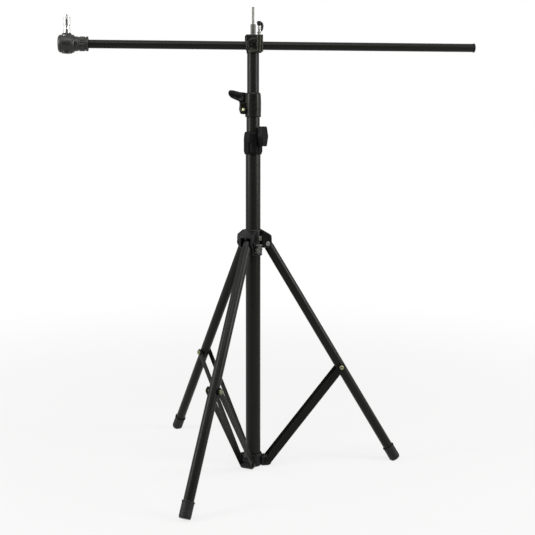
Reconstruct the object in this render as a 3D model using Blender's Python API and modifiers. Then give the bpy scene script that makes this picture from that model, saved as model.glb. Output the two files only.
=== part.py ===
"""Light stand: a folding tripod, a three-section column and a boom arm on a tilting head.

Metres, +Z up. The origin is on the column's axis at floor level. The right leg and the long
end of the arm point along +X.
"""

import math

import bmesh
import bpy
from mathutils import Matrix, Vector

# Gaps between pieces
GAP = 0.0003
LEG_SIDE_GAP = 0.0005

# Column tubes
BASE_TUBE_RADIUS = 0.0180
BASE_TUBE_WALL = 0.0015
MID_TUBE_WALL = 0.0014
MID_TUBE_LENGTH = 0.778
BASE_TUBE_SPARE = 0.009
MID_TUBE_SHOWING = 0.0355
UPPER_TUBE_WALL = 0.0013
UPPER_TUBE_LENGTH = 0.795
UPPER_TUBE_SHOWING = 0.0955
PLUG_FLANGE = 0.004
PLUG_DEPTH = 0.018

# Bottom hub
HUB_BOTTOM = 0.0015
HUB_FLOOR = 0.0027
HUB_WALL = 0.0037
HUB_HEIGHT = 0.031
HUB_CHAMFER = 0.001
HUB_PIVOT_RADIUS = 0.034
HUB_PIVOT_HEIGHT = 0.0133
HUB_LUG_RADIUS = 0.0105

# Legs
LEG_AZIMUTHS = {"right": 0.0, "back_left": 120.0, "front_left": -120.0}
LEG_SPREAD_DEG = 30.7
LEG_LENGTH = 0.635
LEG_RADIUS = 0.0119
LEG_WALL = 0.0012
LEG_PIVOT_RADIUS = 0.034
LEG_TUBE_START = 0.009
LEG_LUG_RADIUS = 0.0113
LEG_LUG_PLUG = 0.025

# Rubber feet
FOOT_WALL = 0.0014
FOOT_LENGTH = 0.036
FOOT_END = 0.006
FOOT_STEP = 0.003
FOOT_STEP_IN = 0.0008
FOOT_RING = 0.0009
FOOT_RING_LENGTH = 0.003
FOOT_CHAMFER = 0.0008
FOOT_FLAT = 0.002
FLOOR_CUT = 0.040

# Braces
BRACE_DROP = 0.360
BRACE_WIDTH = 0.0175
BRACE_THICKNESS = 0.0015
BRACE_STANDOFF = 0.0024
BRACE_SPACER_RADIUS = 0.0052

# Bolts
BOLT_RADIUS = 0.003
BOLT_HEAD_RADIUS = 0.0056
BOLT_HEAD = 0.0036
BOLT_DOME_SHARE = 0.7
BOLT_FLAT_RADIUS = 0.0065

# Lock screws
SCREW_TIP_GAP = 0.0004
KNOB_SOCKET = 0.008
SCREW_CUT_START = 0.010
SCREW_CUT_END = 0.050

# Spider
SPIDER_WALL = 0.0037
SPIDER_SHOULDER = 0.003
SPIDER_BORE_STOCK = 0.002
SPIDER_TOP_WALL = 0.0017
SPIDER_ABOVE_PIVOT = 0.034
SPIDER_BELOW_PIVOT = 0.030
SPIDER_REACH = 0.0438
SPIDER_ROOF_DROP = 0.0145
SPIDER_ROOF = 0.004
SPIDER_LIP = 0.0015
SPIDER_CHEEK = 0.0052
SPIDER_EYE_RADIUS = 0.0105
SPIDER_SLOT_END = 0.090
SPIDER_BOSS_RADIUS = 0.0065
SPIDER_BOSS_REACH = 0.0022
SPIDER_KNOB_AZIMUTH = -72.0
SPIDER_KNOB_DROP = 0.015
SPIDER_KNOB_STANDOFF = 0.0030
SPIDER_KNOB_RADIUS = 0.0098
SPIDER_KNOB_NECK = 0.0045
SPIDER_KNOB_NECK_LENGTH = 0.0015
SPIDER_KNOB_RIM = 0.0070
SPIDER_KNOB_CHAMFER = 0.002
SPIDER_KNOB_LENGTH = 0.0135
SPIDER_KNOB_SIDES = 16

# Lower collar and its knob
LOWER_COLLAR_GRIP = 0.025
LOWER_COLLAR_LIP = 0.030
LOWER_COLLAR_RADIUS = 0.0226
LOWER_COLLAR_END_WALL = 0.0020
LOWER_COLLAR_TAPER = 0.007
LOWER_KNOB_AZIMUTH = -46.5
LOWER_COLLAR_TOP_LIP = 0.001
LOWER_KNOB_BELOW_TOP = 0.0112
LOWER_KNOB_HALF_HEIGHT = 0.024
LOWER_KNOB_HALF_WIDTH = 0.0125
LOWER_KNOB_END_WIDTH = 0.0070
LOWER_KNOB_LENGTH = 0.0140
LOWER_KNOB_STANDOFF = 0.0015
LOWER_BOSS_GAP = 0.0008
LEVER_ROUNDING = 0.0016
LOWER_BOSS_RADIUS = 0.0085

# Upper split collar and its wing lever
UPPER_COLLAR_RADIUS = 0.0194
UPPER_COLLAR_LENGTH = 0.059
UPPER_COLLAR_GRIP = 0.011
UPPER_COLLAR_CHAMFER = 0.0015
EAR_REACH = 0.0318
EAR_HALF_DEPTH = 0.0085
EAR_BOTTOM = 0.007
EAR_HEIGHT = 0.028
EAR_CORNER = 0.006
EAR_ROOT = 0.001
SLIT_WIDTH = 0.003
SLIT_END = 0.050
SLIT_START = 0.005
SLIT_BELOW_EARS = 0.002
CLAMP_BOLT_REACH = 0.0255
CLAMP_BOLT_HEIGHT = 0.0175
WING_THICKNESS = 0.009
WING_HUB_RADIUS = 0.0062
WING_RISE = 0.0485
WING_REACH = 0.0330
WING_ROOT_WIDTH = 0.019
WING_TIP_RADIUS = 0.0045
WING_BOLT_BITE = 0.006
WING_BOSS_BITE = 0.004

# Head fork
ARM_ABOVE_TUBE = 0.0180
FORK_CLEAR = 0.0156
FORK_PLUG_DEPTH = 0.036
FORK_HALF_WIDTH = 0.0142
FORK_BASE_HALF_WIDTH = 0.0095
FORK_CHEEK = 0.0040
FORK_CHEEK_RADIUS = 0.0180
FORK_CHEEK_SHOULDER = 0.0110
FORK_JOIN = 0.001
FORK_LUG_REACH = 0.0225
FORK_LUG_LOW = 0.0158
TILT_BOLT_RADIUS = 0.0040
TILT_BOLT_HEAD_RADIUS = 0.0072
TILT_BOLT_BITE = 0.0026
TILT_BOLT_HEAD = 0.0030
TILT_BOLT_CHAMFER = 0.0010

# Cradle that holds the arm
CRADLE_RADIUS = 0.0150
CRADLE_HALF_DEPTH = 0.0145
CRADLE_TOP = 0.0258
CRADLE_LOW = -0.0069
CRADLE_LEFT = 0.0188
CRADLE_RIGHT = 0.0223
CRADLE_BEVEL = 0.0022
CRADLE_SIDES = 40
ARM_LOCK_OFFSET = 0.0146
ARM_LOCK_TOP = 0.0545
ARM_LOCK_NUT_RADIUS = 0.0052
ARM_LOCK_NUT_LOW = 0.0300
ARM_LOCK_NUT_HIGH = 0.0332
HANDLE_HUB_RADIUS = 0.0048
HANDLE_HUB_HEIGHT = 0.0100
HANDLE_HUB_SOCKET = 0.0060
HANDLE_HUB_CROWN = 0.0008
HANDLE_TAIL = 0.0052
HANDLE_ROD = 0.0032
HANDLE_REACH = 0.0075
HANDLE_HANG = 0.0165
HANDLE_TIP_HANG = 0.0213
HANDLE_TIP_IN = 0.0055

# Spigots
STUD_RADIUS = 0.0032
STUD_CHAMFER = 0.0010
SPIGOT_CHAMFER = 0.0006
TOP_SPIGOT_RADIUS = 0.0063
TOP_SPIGOT_LENGTH = 0.0250
TOP_STUD_LENGTH = 0.0420
SPIGOT_SHANK_RADIUS = 0.0045
SPIGOT_SHANK_LENGTH = 0.0110
ARM_SPIGOT_RADIUS = 0.0080
ARM_SPIGOT_LENGTH = 0.0380
ARM_SPIGOT_WAIST = 0.0062
ARM_SPIGOT_WAIST_UP = 0.0110
ARM_SPIGOT_WAIST_LENGTH = 0.0080
ARM_STUD_LENGTH = 0.0065

# Arm
ARM_RADIUS = 0.0102
ARM_WALL = 0.0012
ARM_RIGHT = 0.549
ARM_LEFT = -0.4218
ARM_CAP_RADIUS = 0.0113
ARM_CAP_LENGTH = 0.0035
ARM_CAP_PLUG = 0.014
ARM_CAP_CHAMFER = 0.001
NECK_RADIUS = 0.0175
NECK_GROOVE = 0.0009
NECK_SHOW = 0.029
NECK_FLOOR = 0.0045
NECK_END_ROUND = 0.002
JOURNAL_RADIUS = 0.0110
JOURNAL_LENGTH = 0.0080
BARREL_GAP = 0.0012
BARREL_RADIUS = 0.0215
BARREL_LENGTH = 0.0370
BARREL_CHAMFER = 0.0015
BARREL_DOME = 0.0070
BARREL_TOP_BOSS_RADIUS = 0.0112
BARREL_BOTTOM_BOSS_RADIUS = 0.0125
BARREL_BOSS_HEIGHT = 0.0245
BARREL_BOSS_ROOT = 0.0100
BARREL_SPIGOT_SETBACK = 0.0155
BARREL_BOTTOM_FLAT = 0.0226
NUT_POCKET_RADIUS = 0.0110
NUT_POCKET_ROOF = 0.0190
SPIGOT_NUT_RADIUS = 0.0104
SPIGOT_NUT_LENGTH = 0.0038
BARREL_CUT_END = -0.400

# Facets round a turn
TUBE_SIDES = 28
LEG_SIDES = 20
SMALL_SIDES = 12
HEX = 6
CUTTER_FACET = 5.0
SHARP_ANGLE = 35
ROUNDED_ANGLE = 40
WELD_DISTANCE = 0.00001

# Reach of a cutter that only has to pass right through
THROUGH = 0.060

# Sizes that follow from those above
MID_TUBE_RADIUS = BASE_TUBE_RADIUS - BASE_TUBE_WALL - GAP
UPPER_TUBE_RADIUS = MID_TUBE_RADIUS - MID_TUBE_WALL - GAP
BASE_TUBE_LENGTH = MID_TUBE_LENGTH + BASE_TUBE_SPARE
BASE_TUBE_BOTTOM = HUB_BOTTOM + HUB_FLOOR + GAP
BASE_TUBE_TOP = BASE_TUBE_BOTTOM + BASE_TUBE_LENGTH
LOWER_COLLAR_BOTTOM = BASE_TUBE_TOP - LOWER_COLLAR_GRIP
LOWER_COLLAR_TOP = BASE_TUBE_TOP + LOWER_COLLAR_LIP
UPPER_COLLAR_BOTTOM = LOWER_COLLAR_TOP + MID_TUBE_SHOWING
UPPER_COLLAR_TOP = UPPER_COLLAR_BOTTOM + UPPER_COLLAR_LENGTH
MID_TUBE_TOP = UPPER_COLLAR_BOTTOM + UPPER_COLLAR_GRIP
MID_TUBE_BOTTOM = MID_TUBE_TOP - MID_TUBE_LENGTH
UPPER_TUBE_TOP = UPPER_COLLAR_TOP + UPPER_TUBE_SHOWING
UPPER_TUBE_BOTTOM = UPPER_TUBE_TOP - UPPER_TUBE_LENGTH
ARM_HEIGHT = UPPER_TUBE_TOP + ARM_ABOVE_TUBE

LEG_SPREAD = math.radians(LEG_SPREAD_DEG)
FOOT_RADIUS = LEG_RADIUS + GAP + FOOT_WALL
FOOT_TIP_RADIUS = FOOT_RADIUS - FOOT_STEP_IN
LEG_PIVOT_HEIGHT = (
    LEG_LENGTH * math.cos(LEG_SPREAD) + FOOT_TIP_RADIUS * math.sin(LEG_SPREAD) - FOOT_FLAT
)
BRACE_TOP_RADIUS = LEG_PIVOT_RADIUS + BRACE_DROP * math.sin(LEG_SPREAD)
BRACE_TOP_HEIGHT = LEG_PIVOT_HEIGHT - BRACE_DROP * math.cos(LEG_SPREAD)
BRACE_LENGTH = math.hypot(
    BRACE_TOP_RADIUS - HUB_PIVOT_RADIUS, BRACE_TOP_HEIGHT - HUB_PIVOT_HEIGHT
)
BRACE_LEAN = math.atan2(
    BRACE_TOP_RADIUS - HUB_PIVOT_RADIUS, BRACE_TOP_HEIGHT - HUB_PIVOT_HEIGHT
)
BRACE_INSIDE = LEG_RADIUS + BRACE_STANDOFF
BRACE_OUTSIDE = BRACE_INSIDE + BRACE_THICKNESS

HUB_OUTER = BASE_TUBE_RADIUS + GAP + HUB_WALL
SPIDER_OUTER = BASE_TUBE_RADIUS + GAP + SPIDER_WALL
SPIDER_CHEEK_INSIDE = LEG_RADIUS + GAP
SPIDER_CHEEK_OUTSIDE = SPIDER_CHEEK_INSIDE + SPIDER_CHEEK
BOLT_HOLE = BOLT_RADIUS + GAP
SPIDER_KNOB_START = SPIDER_OUTER + SPIDER_KNOB_STANDOFF
LOWER_KNOB_START = LOWER_COLLAR_RADIUS + LOWER_KNOB_STANDOFF
NECK_LEFT = ARM_LEFT - GAP - NECK_FLOOR
NECK_RIGHT = NECK_LEFT + NECK_FLOOR + NECK_SHOW
BARREL_RIGHT = NECK_LEFT - BARREL_GAP
BARREL_LEFT = BARREL_RIGHT - BARREL_LENGTH
SPIGOT_X = BARREL_RIGHT - BARREL_SPIGOT_SETBACK

MATERIALS = {
    "black_paint": ((0.020, 0.020, 0.019), 0.42, 0.0),
    "olive_metal": ((0.033, 0.034, 0.026), 0.40, 0.3),
    "black_plastic": ((0.010, 0.010, 0.010), 0.45, 0.0),
    "grey_plastic": ((0.046, 0.047, 0.040), 0.50, 0.0),
    "black_rubber": ((0.012, 0.012, 0.012), 0.75, 0.0),
    "nickel_steel": ((0.62, 0.62, 0.60), 0.22, 1.0),
    "zinc_steel": ((0.50, 0.50, 0.34), 0.35, 1.0),
}


def clear_scene():
    """Remove whatever the start-up file holds."""
    for item in list(bpy.data.objects):
        bpy.data.objects.remove(item, do_unlink=True)


def collection(name):
    """A new collection linked to the scene."""
    group = bpy.data.collections.new(name)
    bpy.context.scene.collection.children.link(group)
    return group


def material(name):
    """A Principled material with the colour, roughness and metallic value of its name."""
    found = bpy.data.materials.get(name)
    if found:
        return found
    colour, roughness, metallic = MATERIALS[name]
    made = bpy.data.materials.new(name)
    made.use_nodes = True
    shader = made.node_tree.nodes["Principled BSDF"]
    shader.inputs["Base Color"].default_value = (*colour, 1.0)
    shader.inputs["Roughness"].default_value = roughness
    shader.inputs["Metallic"].default_value = metallic
    return made


def empty(name, place=(0, 0, 0), turn=(0, 0, 0), parent=None):
    """An empty that stands on a joint's axis and carries the pieces that move with it."""
    pivot = bpy.data.objects.new(name, None)
    pivot.location = place
    pivot.rotation_euler = turn
    pivot.parent = parent
    PARTS.objects.link(pivot)
    return pivot


def add(name, mesh, look, parent=None, place=(0, 0, 0), turn=(0, 0, 0)):
    """Put a mesh in the scene as a finished piece, shaded smooth up to its sharp edges."""
    piece = bpy.data.objects.new(name, mesh)
    piece.location = place
    piece.rotation_euler = turn
    piece.parent = parent
    if look:
        mesh.materials.append(material(look))
        mesh.shade_smooth()
        mesh.set_sharp_from_angle(angle=math.radians(SHARP_ANGLE))
        PARTS.objects.link(piece)
    else:
        piece.hide_render = True
        piece.display_type = "WIRE"
        CUTTERS.objects.link(piece)
    return piece


def mesh_of(name, shape):
    """The mesh that a bmesh holds."""
    mesh = bpy.data.meshes.new(name)
    shape.normal_update()
    shape.to_mesh(mesh)
    shape.free()
    return mesh


def cylinder_mesh(name, radius, low, high, sides=SMALL_SIDES, facet=0.0):
    """A closed cylinder along local Z from low to high, its facets turned by an angle in degrees."""
    shape = bmesh.new()
    bmesh.ops.create_cone(
        shape,
        cap_ends=True,
        segments=sides,
        radius1=radius,
        radius2=radius,
        depth=high - low,
        matrix=Matrix.Translation((0, 0, (low + high) / 2)) @ Matrix.Rotation(math.radians(facet), 4, "Z"),
    )
    return mesh_of(name, shape)


def box_mesh(name, low, high):
    """A closed box between two corners."""
    low = Vector(low)
    high = Vector(high)
    size = high - low
    shape = bmesh.new()
    bmesh.ops.create_cube(
        shape, size=1, matrix=Matrix.Translation((low + high) / 2) @ Matrix.Diagonal((*size, 1))
    )
    return mesh_of(name, shape)


def turned_mesh(name, profile, sides=TUBE_SIDES):
    """A turned solid from (radius, height) points that run down its outer side, as a mesh.

    A profile that starts and ends on the axis gives a solid piece; any other is closed into a
    ring by joining its last point to its first.
    """
    shape = bmesh.new()
    points = [shape.verts.new((radius, 0, height)) for radius, height in profile]
    for first, second in zip(points, points[1:]):
        shape.edges.new((first, second))
    if profile[0][0] > 0:
        shape.edges.new((points[-1], points[0]))
    outline = mesh_of(name + "_profile", shape)
    guide = bpy.data.objects.new(name + "_guide", outline)
    CUTTERS.objects.link(guide)
    screw = guide.modifiers.new("turn", "SCREW")
    screw.steps = sides
    screw.render_steps = sides
    screw.use_merge_vertices = True
    screw.merge_threshold = WELD_DISTANCE
    return baked(guide, name)


def baked(guide, name):
    """A guide object's evaluated shape as a welded mesh; the guide is removed."""
    bpy.context.view_layer.update()
    seen = guide.evaluated_get(bpy.context.evaluated_depsgraph_get())
    mesh = bpy.data.meshes.new_from_object(seen)
    mesh.name = name
    bpy.data.objects.remove(guide, do_unlink=True)
    shape = bmesh.new()
    shape.from_mesh(mesh)
    bmesh.ops.remove_doubles(shape, verts=shape.verts, dist=WELD_DISTANCE)
    bmesh.ops.recalc_face_normals(shape, faces=shape.faces)
    shape.to_mesh(mesh)
    shape.free()
    return mesh


def plate_mesh(name, outline, low, high, holes=()):
    """A flat plate: an outline of (x, y) points, with round holes, from height low to high."""
    curve = bpy.data.curves.new(name, "CURVE")
    curve.dimensions = "2D"
    curve.fill_mode = "BOTH"
    curve.extrude = (high - low) / 2
    for ring in [outline, *holes]:
        spline = curve.splines.new("POLY")
        spline.points.add(len(ring) - 1)
        for point, (x, y) in zip(spline.points, ring):
            point.co = (x, y, 0, 1)
        spline.use_cyclic_u = True
    guide = bpy.data.objects.new(name + "_guide", curve)
    CUTTERS.objects.link(guide)
    mesh = baked(guide, name)
    mesh.transform(Matrix.Translation((0, 0, (low + high) / 2)))
    return mesh


def arc(centre, radius, start, stop, steps):
    """Points along an arc, angles in degrees counted from +X towards +Y."""
    points = []
    for step in range(steps + 1):
        angle = math.radians(start + (stop - start) * step / steps)
        points.append((centre[0] + radius * math.cos(angle), centre[1] + radius * math.sin(angle)))
    return points


def ring_of(centre, radius, sides=SMALL_SIDES):
    """A circle's points, once round."""
    return arc(centre, radius, 0, 360, sides)[:-1]


def boolean(piece, cutter, operation="DIFFERENCE"):
    """Cut a piece with a cutter, or join the cutter to it."""
    change = piece.modifiers.new(cutter.name, "BOOLEAN")
    change.operation = operation
    change.solver = "EXACT"
    change.object = cutter
    return change


def round_cutter(name, radius, low, high, parent=None, place=(0, 0, 0), turn=(0, 0, 0), sides=SMALL_SIDES):
    """A round cutter along its own Z, its corners turned clear of the flats of what it cuts."""
    return add(name, cylinder_mesh(name, radius, low, high, sides, CUTTER_FACET), None, parent, place, turn)


def tube(name, radius, wall, low, high, look, parent, sides=TUBE_SIDES, turn=(0, 0, 0), place=(0, 0, 0)):
    """A round tube along local Z."""
    inner = radius - wall
    profile = [(radius, high), (radius, low), (inner, low), (inner, high)]
    return add(name, turned_mesh(name, profile, sides), look, parent, place, turn)


def bevel(piece, width, segments=2):
    """Round a piece's sharp edges."""
    rounded = piece.modifiers.new("rounded", "BEVEL")
    rounded.width = width
    rounded.segments = segments
    rounded.limit_method = "ANGLE"
    rounded.angle_limit = math.radians(ROUNDED_ANGLE)


# Turns that lay local Z along another axis
ALONG_X = (0, math.pi / 2, 0)
ALONG_Y = (-math.pi / 2, 0, 0)
# Lays a plate drawn in x and z upright, with its thickness along -Y
UPRIGHT = (math.pi / 2, 0, 0)


def column_tubes(base, mid, upper):
    """The three telescoping tubes and the plugs in their lower ends."""
    tube(
        "base_tube", BASE_TUBE_RADIUS, BASE_TUBE_WALL, BASE_TUBE_BOTTOM, BASE_TUBE_TOP, "black_paint", base
    )
    tube("mid_tube", MID_TUBE_RADIUS, MID_TUBE_WALL, MID_TUBE_BOTTOM, MID_TUBE_TOP, "black_paint", mid)
    tube(
        "upper_tube",
        UPPER_TUBE_RADIUS,
        UPPER_TUBE_WALL,
        UPPER_TUBE_BOTTOM,
        UPPER_TUBE_TOP,
        "black_paint",
        upper,
    )
    end_plug("mid_tube_plug", MID_TUBE_RADIUS, MID_TUBE_WALL, MID_TUBE_BOTTOM, mid)
    end_plug("upper_tube_plug", UPPER_TUBE_RADIUS, UPPER_TUBE_WALL, UPPER_TUBE_BOTTOM, upper)


def end_plug(name, radius, wall, tube_end, parent):
    """A plug pushed up into a tube's lower end, with a flange as wide as the tube."""
    shank = radius - wall - GAP
    flange_top = tube_end - GAP
    profile = [
        (0, tube_end + PLUG_DEPTH),
        (shank, tube_end + PLUG_DEPTH),
        (shank, flange_top),
        (radius, flange_top),
        (radius, flange_top - PLUG_FLANGE),
        (0, flange_top - PLUG_FLANGE),
    ]
    add(name, turned_mesh(name, profile), "black_plastic", parent)


def bottom_hub(base):
    """The hub that closes the column's foot and carries the braces on three lugs."""
    seat = BASE_TUBE_BOTTOM - GAP
    bore = BASE_TUBE_RADIUS + GAP
    top = HUB_BOTTOM + HUB_HEIGHT
    profile = [
        (HUB_OUTER, top),
        (HUB_OUTER, HUB_BOTTOM + HUB_CHAMFER),
        (HUB_OUTER - HUB_CHAMFER, HUB_BOTTOM),
        (0, HUB_BOTTOM),
    ]
    profile = [(0, seat), (bore, seat), (bore, top), *profile]
    hub = add("bottom_hub", turned_mesh("bottom_hub", profile), "black_plastic", base)
    inner = BASE_TUBE_RADIUS + GAP + HUB_WALL / 2
    lug_half = BRACE_INSIDE - LEG_SIDE_GAP
    for side, azimuth in LEG_AZIMUTHS.items():
        station = empty("hub_station_" + side, turn=(0, 0, math.radians(azimuth)), parent=base)
        centre = (HUB_PIVOT_RADIUS, HUB_PIVOT_HEIGHT)
        outline = [
            (inner, HUB_PIVOT_HEIGHT - HUB_LUG_RADIUS),
            *arc(centre, HUB_LUG_RADIUS, -90, 90, 10),
            (inner, HUB_PIVOT_HEIGHT + HUB_LUG_RADIUS),
        ]
        solid = plate_mesh("lug", outline, -lug_half, lug_half, [ring_of(centre, BOLT_HOLE)])
        lug = add("hub_lug_" + side, solid, None, station, turn=UPRIGHT)
        boolean(hub, lug, "UNION")
        pivot_bolt("hub_bolt_" + side, BRACE_OUTSIDE, station, (HUB_PIVOT_RADIUS, 0, HUB_PIVOT_HEIGHT))


def domed_head(face):
    """A domed bolt head's profile, from its top on the axis down to the shank at its face."""
    return [
        (0, face + BOLT_HEAD),
        (BOLT_HEAD_RADIUS * BOLT_DOME_SHARE, face + BOLT_HEAD),
        (BOLT_HEAD_RADIUS, face + BOLT_HEAD / 2),
        (BOLT_HEAD_RADIUS, face),
        (BOLT_RADIUS, face),
    ]


def pivot_bolt(name, half_grip, parent, place):
    """A bolt through a hinge, along the station's Y: a domed head, a shank and a riveted end."""
    top = domed_head(half_grip + GAP)
    profile = [*top, *((radius, -height) for radius, height in reversed(top))]
    add(name, turned_mesh(name, profile, SMALL_SIDES), "zinc_steel", parent, place, ALONG_Y)


def spider(carrier):
    """The collar that slides on the base tube and carries the legs between cheeks."""
    bore = BASE_TUBE_RADIUS + GAP
    profile = [
        (bore + SPIDER_TOP_WALL, SPIDER_ABOVE_PIVOT),
        (SPIDER_OUTER, SPIDER_ABOVE_PIVOT - SPIDER_SHOULDER),
        (SPIDER_OUTER, -SPIDER_BELOW_PIVOT),
        (bore - SPIDER_BORE_STOCK, -SPIDER_BELOW_PIVOT),
        (bore - SPIDER_BORE_STOCK, SPIDER_ABOVE_PIVOT),
    ]
    body = add("spider_collar", turned_mesh("spider_collar", profile), "black_plastic", carrier)
    roof_edge = SPIDER_ABOVE_PIVOT - SPIDER_ROOF_DROP
    roof_slope = SPIDER_ROOF_DROP / (SPIDER_REACH - bore)
    inside = bore + SPIDER_WALL / 2
    under_start = SPIDER_OUTER + GAP
    eye = (LEG_PIVOT_RADIUS, 0)
    outline = [
        (inside, -SPIDER_EYE_RADIUS),
        *arc(eye, SPIDER_EYE_RADIUS, -90, -10, 6),
        (SPIDER_REACH, roof_edge - SPIDER_ROOF - SPIDER_LIP),
        (SPIDER_REACH, roof_edge),
        (inside, roof_edge + roof_slope * (SPIDER_REACH - inside)),
    ]
    slot = [
        (under_start, -THROUGH),
        (SPIDER_SLOT_END, -THROUGH),
        (SPIDER_SLOT_END, roof_edge - SPIDER_ROOF - roof_slope * (SPIDER_SLOT_END - SPIDER_REACH)),
        (under_start, roof_edge - SPIDER_ROOF + roof_slope * (SPIDER_REACH - under_start)),
    ]
    stations = {}
    for side, azimuth in LEG_AZIMUTHS.items():
        station = empty("spider_station_" + side, turn=(0, 0, math.radians(azimuth)), parent=carrier)
        stations[side] = station
        half = SPIDER_CHEEK_OUTSIDE
        solid = plate_mesh("housing", outline, -half, half, [ring_of(eye, BOLT_HOLE)])
        housing = add("housing_" + side, solid, None, station, turn=UPRIGHT)
        boolean(body, housing, "UNION")
    turn = (0, 0, math.radians(SPIDER_KNOB_AZIMUTH))
    knob_station = empty("spider_knob_station", (0, 0, -SPIDER_KNOB_DROP), turn, carrier)
    boss_end = SPIDER_OUTER + SPIDER_BOSS_REACH
    boss = round_cutter("spider_boss", SPIDER_BOSS_RADIUS, bore, boss_end, knob_station, turn=ALONG_X)
    boolean(body, boss, "UNION")
    for side, station in stations.items():
        half = SPIDER_CHEEK_INSIDE
        gap = add("leg_slot_" + side, plate_mesh("slot", slot, -half, half), None, station, turn=UPRIGHT)
        boolean(body, gap)
        pivot_bolt("leg_pivot_bolt_" + side, SPIDER_CHEEK_OUTSIDE, station, (LEG_PIVOT_RADIUS, 0, 0))
    boolean(body, round_cutter("spider_bore", bore, -THROUGH, THROUGH, carrier, sides=TUBE_SIDES))
    boolean(body, screw_hole("spider_screw_hole", SCREW_CUT_END, knob_station))
    return knob_station


def spider_lock(knob_station):
    """The fluted knob whose screw presses the spider on to the base tube."""
    tip = BASE_TUBE_RADIUS + SCREW_TIP_GAP
    knob_end = SPIDER_KNOB_START + SPIDER_KNOB_LENGTH
    socket = SPIDER_KNOB_START + KNOB_SOCKET
    lock_screw("spider_lock_screw", tip, socket - GAP, knob_station)
    profile = [
        (0, knob_end),
        (SPIDER_KNOB_RADIUS - SPIDER_KNOB_CHAMFER, knob_end),
        (SPIDER_KNOB_RADIUS, knob_end - SPIDER_KNOB_CHAMFER),
        (SPIDER_KNOB_RADIUS, knob_end - SPIDER_KNOB_RIM),
        (SPIDER_KNOB_NECK, SPIDER_KNOB_START + SPIDER_KNOB_NECK_LENGTH),
        (SPIDER_KNOB_NECK, SPIDER_KNOB_START),
        (0, SPIDER_KNOB_START),
    ]
    mesh = turned_mesh("spider_lock_knob", profile, SPIDER_KNOB_SIDES)
    knob = add("spider_lock_knob", mesh, "grey_plastic", knob_station, turn=ALONG_X)
    boolean(knob, screw_hole("spider_knob_socket", socket, knob_station))


def screw_hole(name, end, station):
    """The cutter for a lock screw's hole along the station's X, as far as its end."""
    return round_cutter(name, BOLT_HOLE, SCREW_CUT_START, end, station, turn=ALONG_X)


def lock_screw(name, tip, end, station):
    """A lock screw along the station's X, from its tip to its end in the knob."""
    mesh = cylinder_mesh(name, BOLT_RADIUS, tip, end, SMALL_SIDES)
    add(name, mesh, "nickel_steel", station, turn=ALONG_X)


def leg(side, carrier):
    """One leg: a tube with a top lug and a rubber foot, hung from the spider's pivot."""
    azimuth = math.radians(LEG_AZIMUTHS[side])
    place = (LEG_PIVOT_RADIUS * math.cos(azimuth), LEG_PIVOT_RADIUS * math.sin(azimuth), 0)
    pivot = empty("leg_pivot_" + side, place, (0, -LEG_SPREAD, azimuth), carrier)
    tube_end = -LEG_LENGTH + FOOT_END + GAP
    tube(
        "leg_tube_" + side,
        LEG_RADIUS,
        LEG_WALL,
        tube_end,
        -LEG_TUBE_START,
        "black_paint",
        pivot,
        LEG_SIDES,
    )
    leg_lug(side, pivot)
    rubber_foot(side, pivot)
    return pivot


def leg_lug(side, pivot):
    """The ball-ended lug plugged into the top of a leg tube, with the pivot bolt's hole across it."""
    shoulder = -LEG_TUBE_START + GAP
    plug_radius = LEG_RADIUS - LEG_WALL - GAP
    plug_end = -LEG_TUBE_START - LEG_LUG_PLUG
    ball = [(0, LEG_LUG_RADIUS), *arc((0, 0), LEG_LUG_RADIUS, 75, 0, 5)]
    stem = [(LEG_LUG_RADIUS, shoulder), (plug_radius, shoulder), (plug_radius, plug_end), (0, plug_end)]
    mesh = turned_mesh("leg_lug_" + side, [*ball, *stem], LEG_SIDES)
    lug = add("leg_lug_" + side, mesh, "black_plastic", pivot)
    boolean(lug, round_cutter("lug_hole_" + side, BOLT_HOLE, -THROUGH, THROUGH, pivot, turn=ALONG_Y))


def rubber_foot(side, pivot):
    """A rubber cap over the leg's end, worn flat where it stands on the floor."""
    end = -LEG_LENGTH
    top = end + FOOT_LENGTH
    bore = LEG_RADIUS + GAP
    ring = FOOT_RADIUS + FOOT_RING
    profile = [
        (0, end + FOOT_END),
        (bore, end + FOOT_END),
        (bore, top),
        (ring - FOOT_CHAMFER, top),
        (ring, top - FOOT_CHAMFER),
        (ring, top - FOOT_RING_LENGTH),
        (FOOT_RADIUS, top - FOOT_RING_LENGTH - FOOT_CHAMFER),
        (FOOT_RADIUS, end + FOOT_STEP),
        (FOOT_TIP_RADIUS, end + FOOT_STEP),
        (FOOT_TIP_RADIUS, end),
        (0, end),
    ]
    foot = add("foot_" + side, turned_mesh("foot_" + side, profile, LEG_SIDES), "black_rubber", pivot)
    azimuth = math.radians(LEG_AZIMUTHS[side])
    reach = LEG_PIVOT_RADIUS + LEG_LENGTH * math.sin(LEG_SPREAD)
    x = reach * math.cos(azimuth)
    y = reach * math.sin(azimuth)
    low = (x - FLOOR_CUT, y - FLOOR_CUT, -FLOOR_CUT)
    high = (x + FLOOR_CUT, y + FLOOR_CUT, 0)
    boolean(foot, add("floor_" + side, box_mesh("floor", low, high), None))


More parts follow.
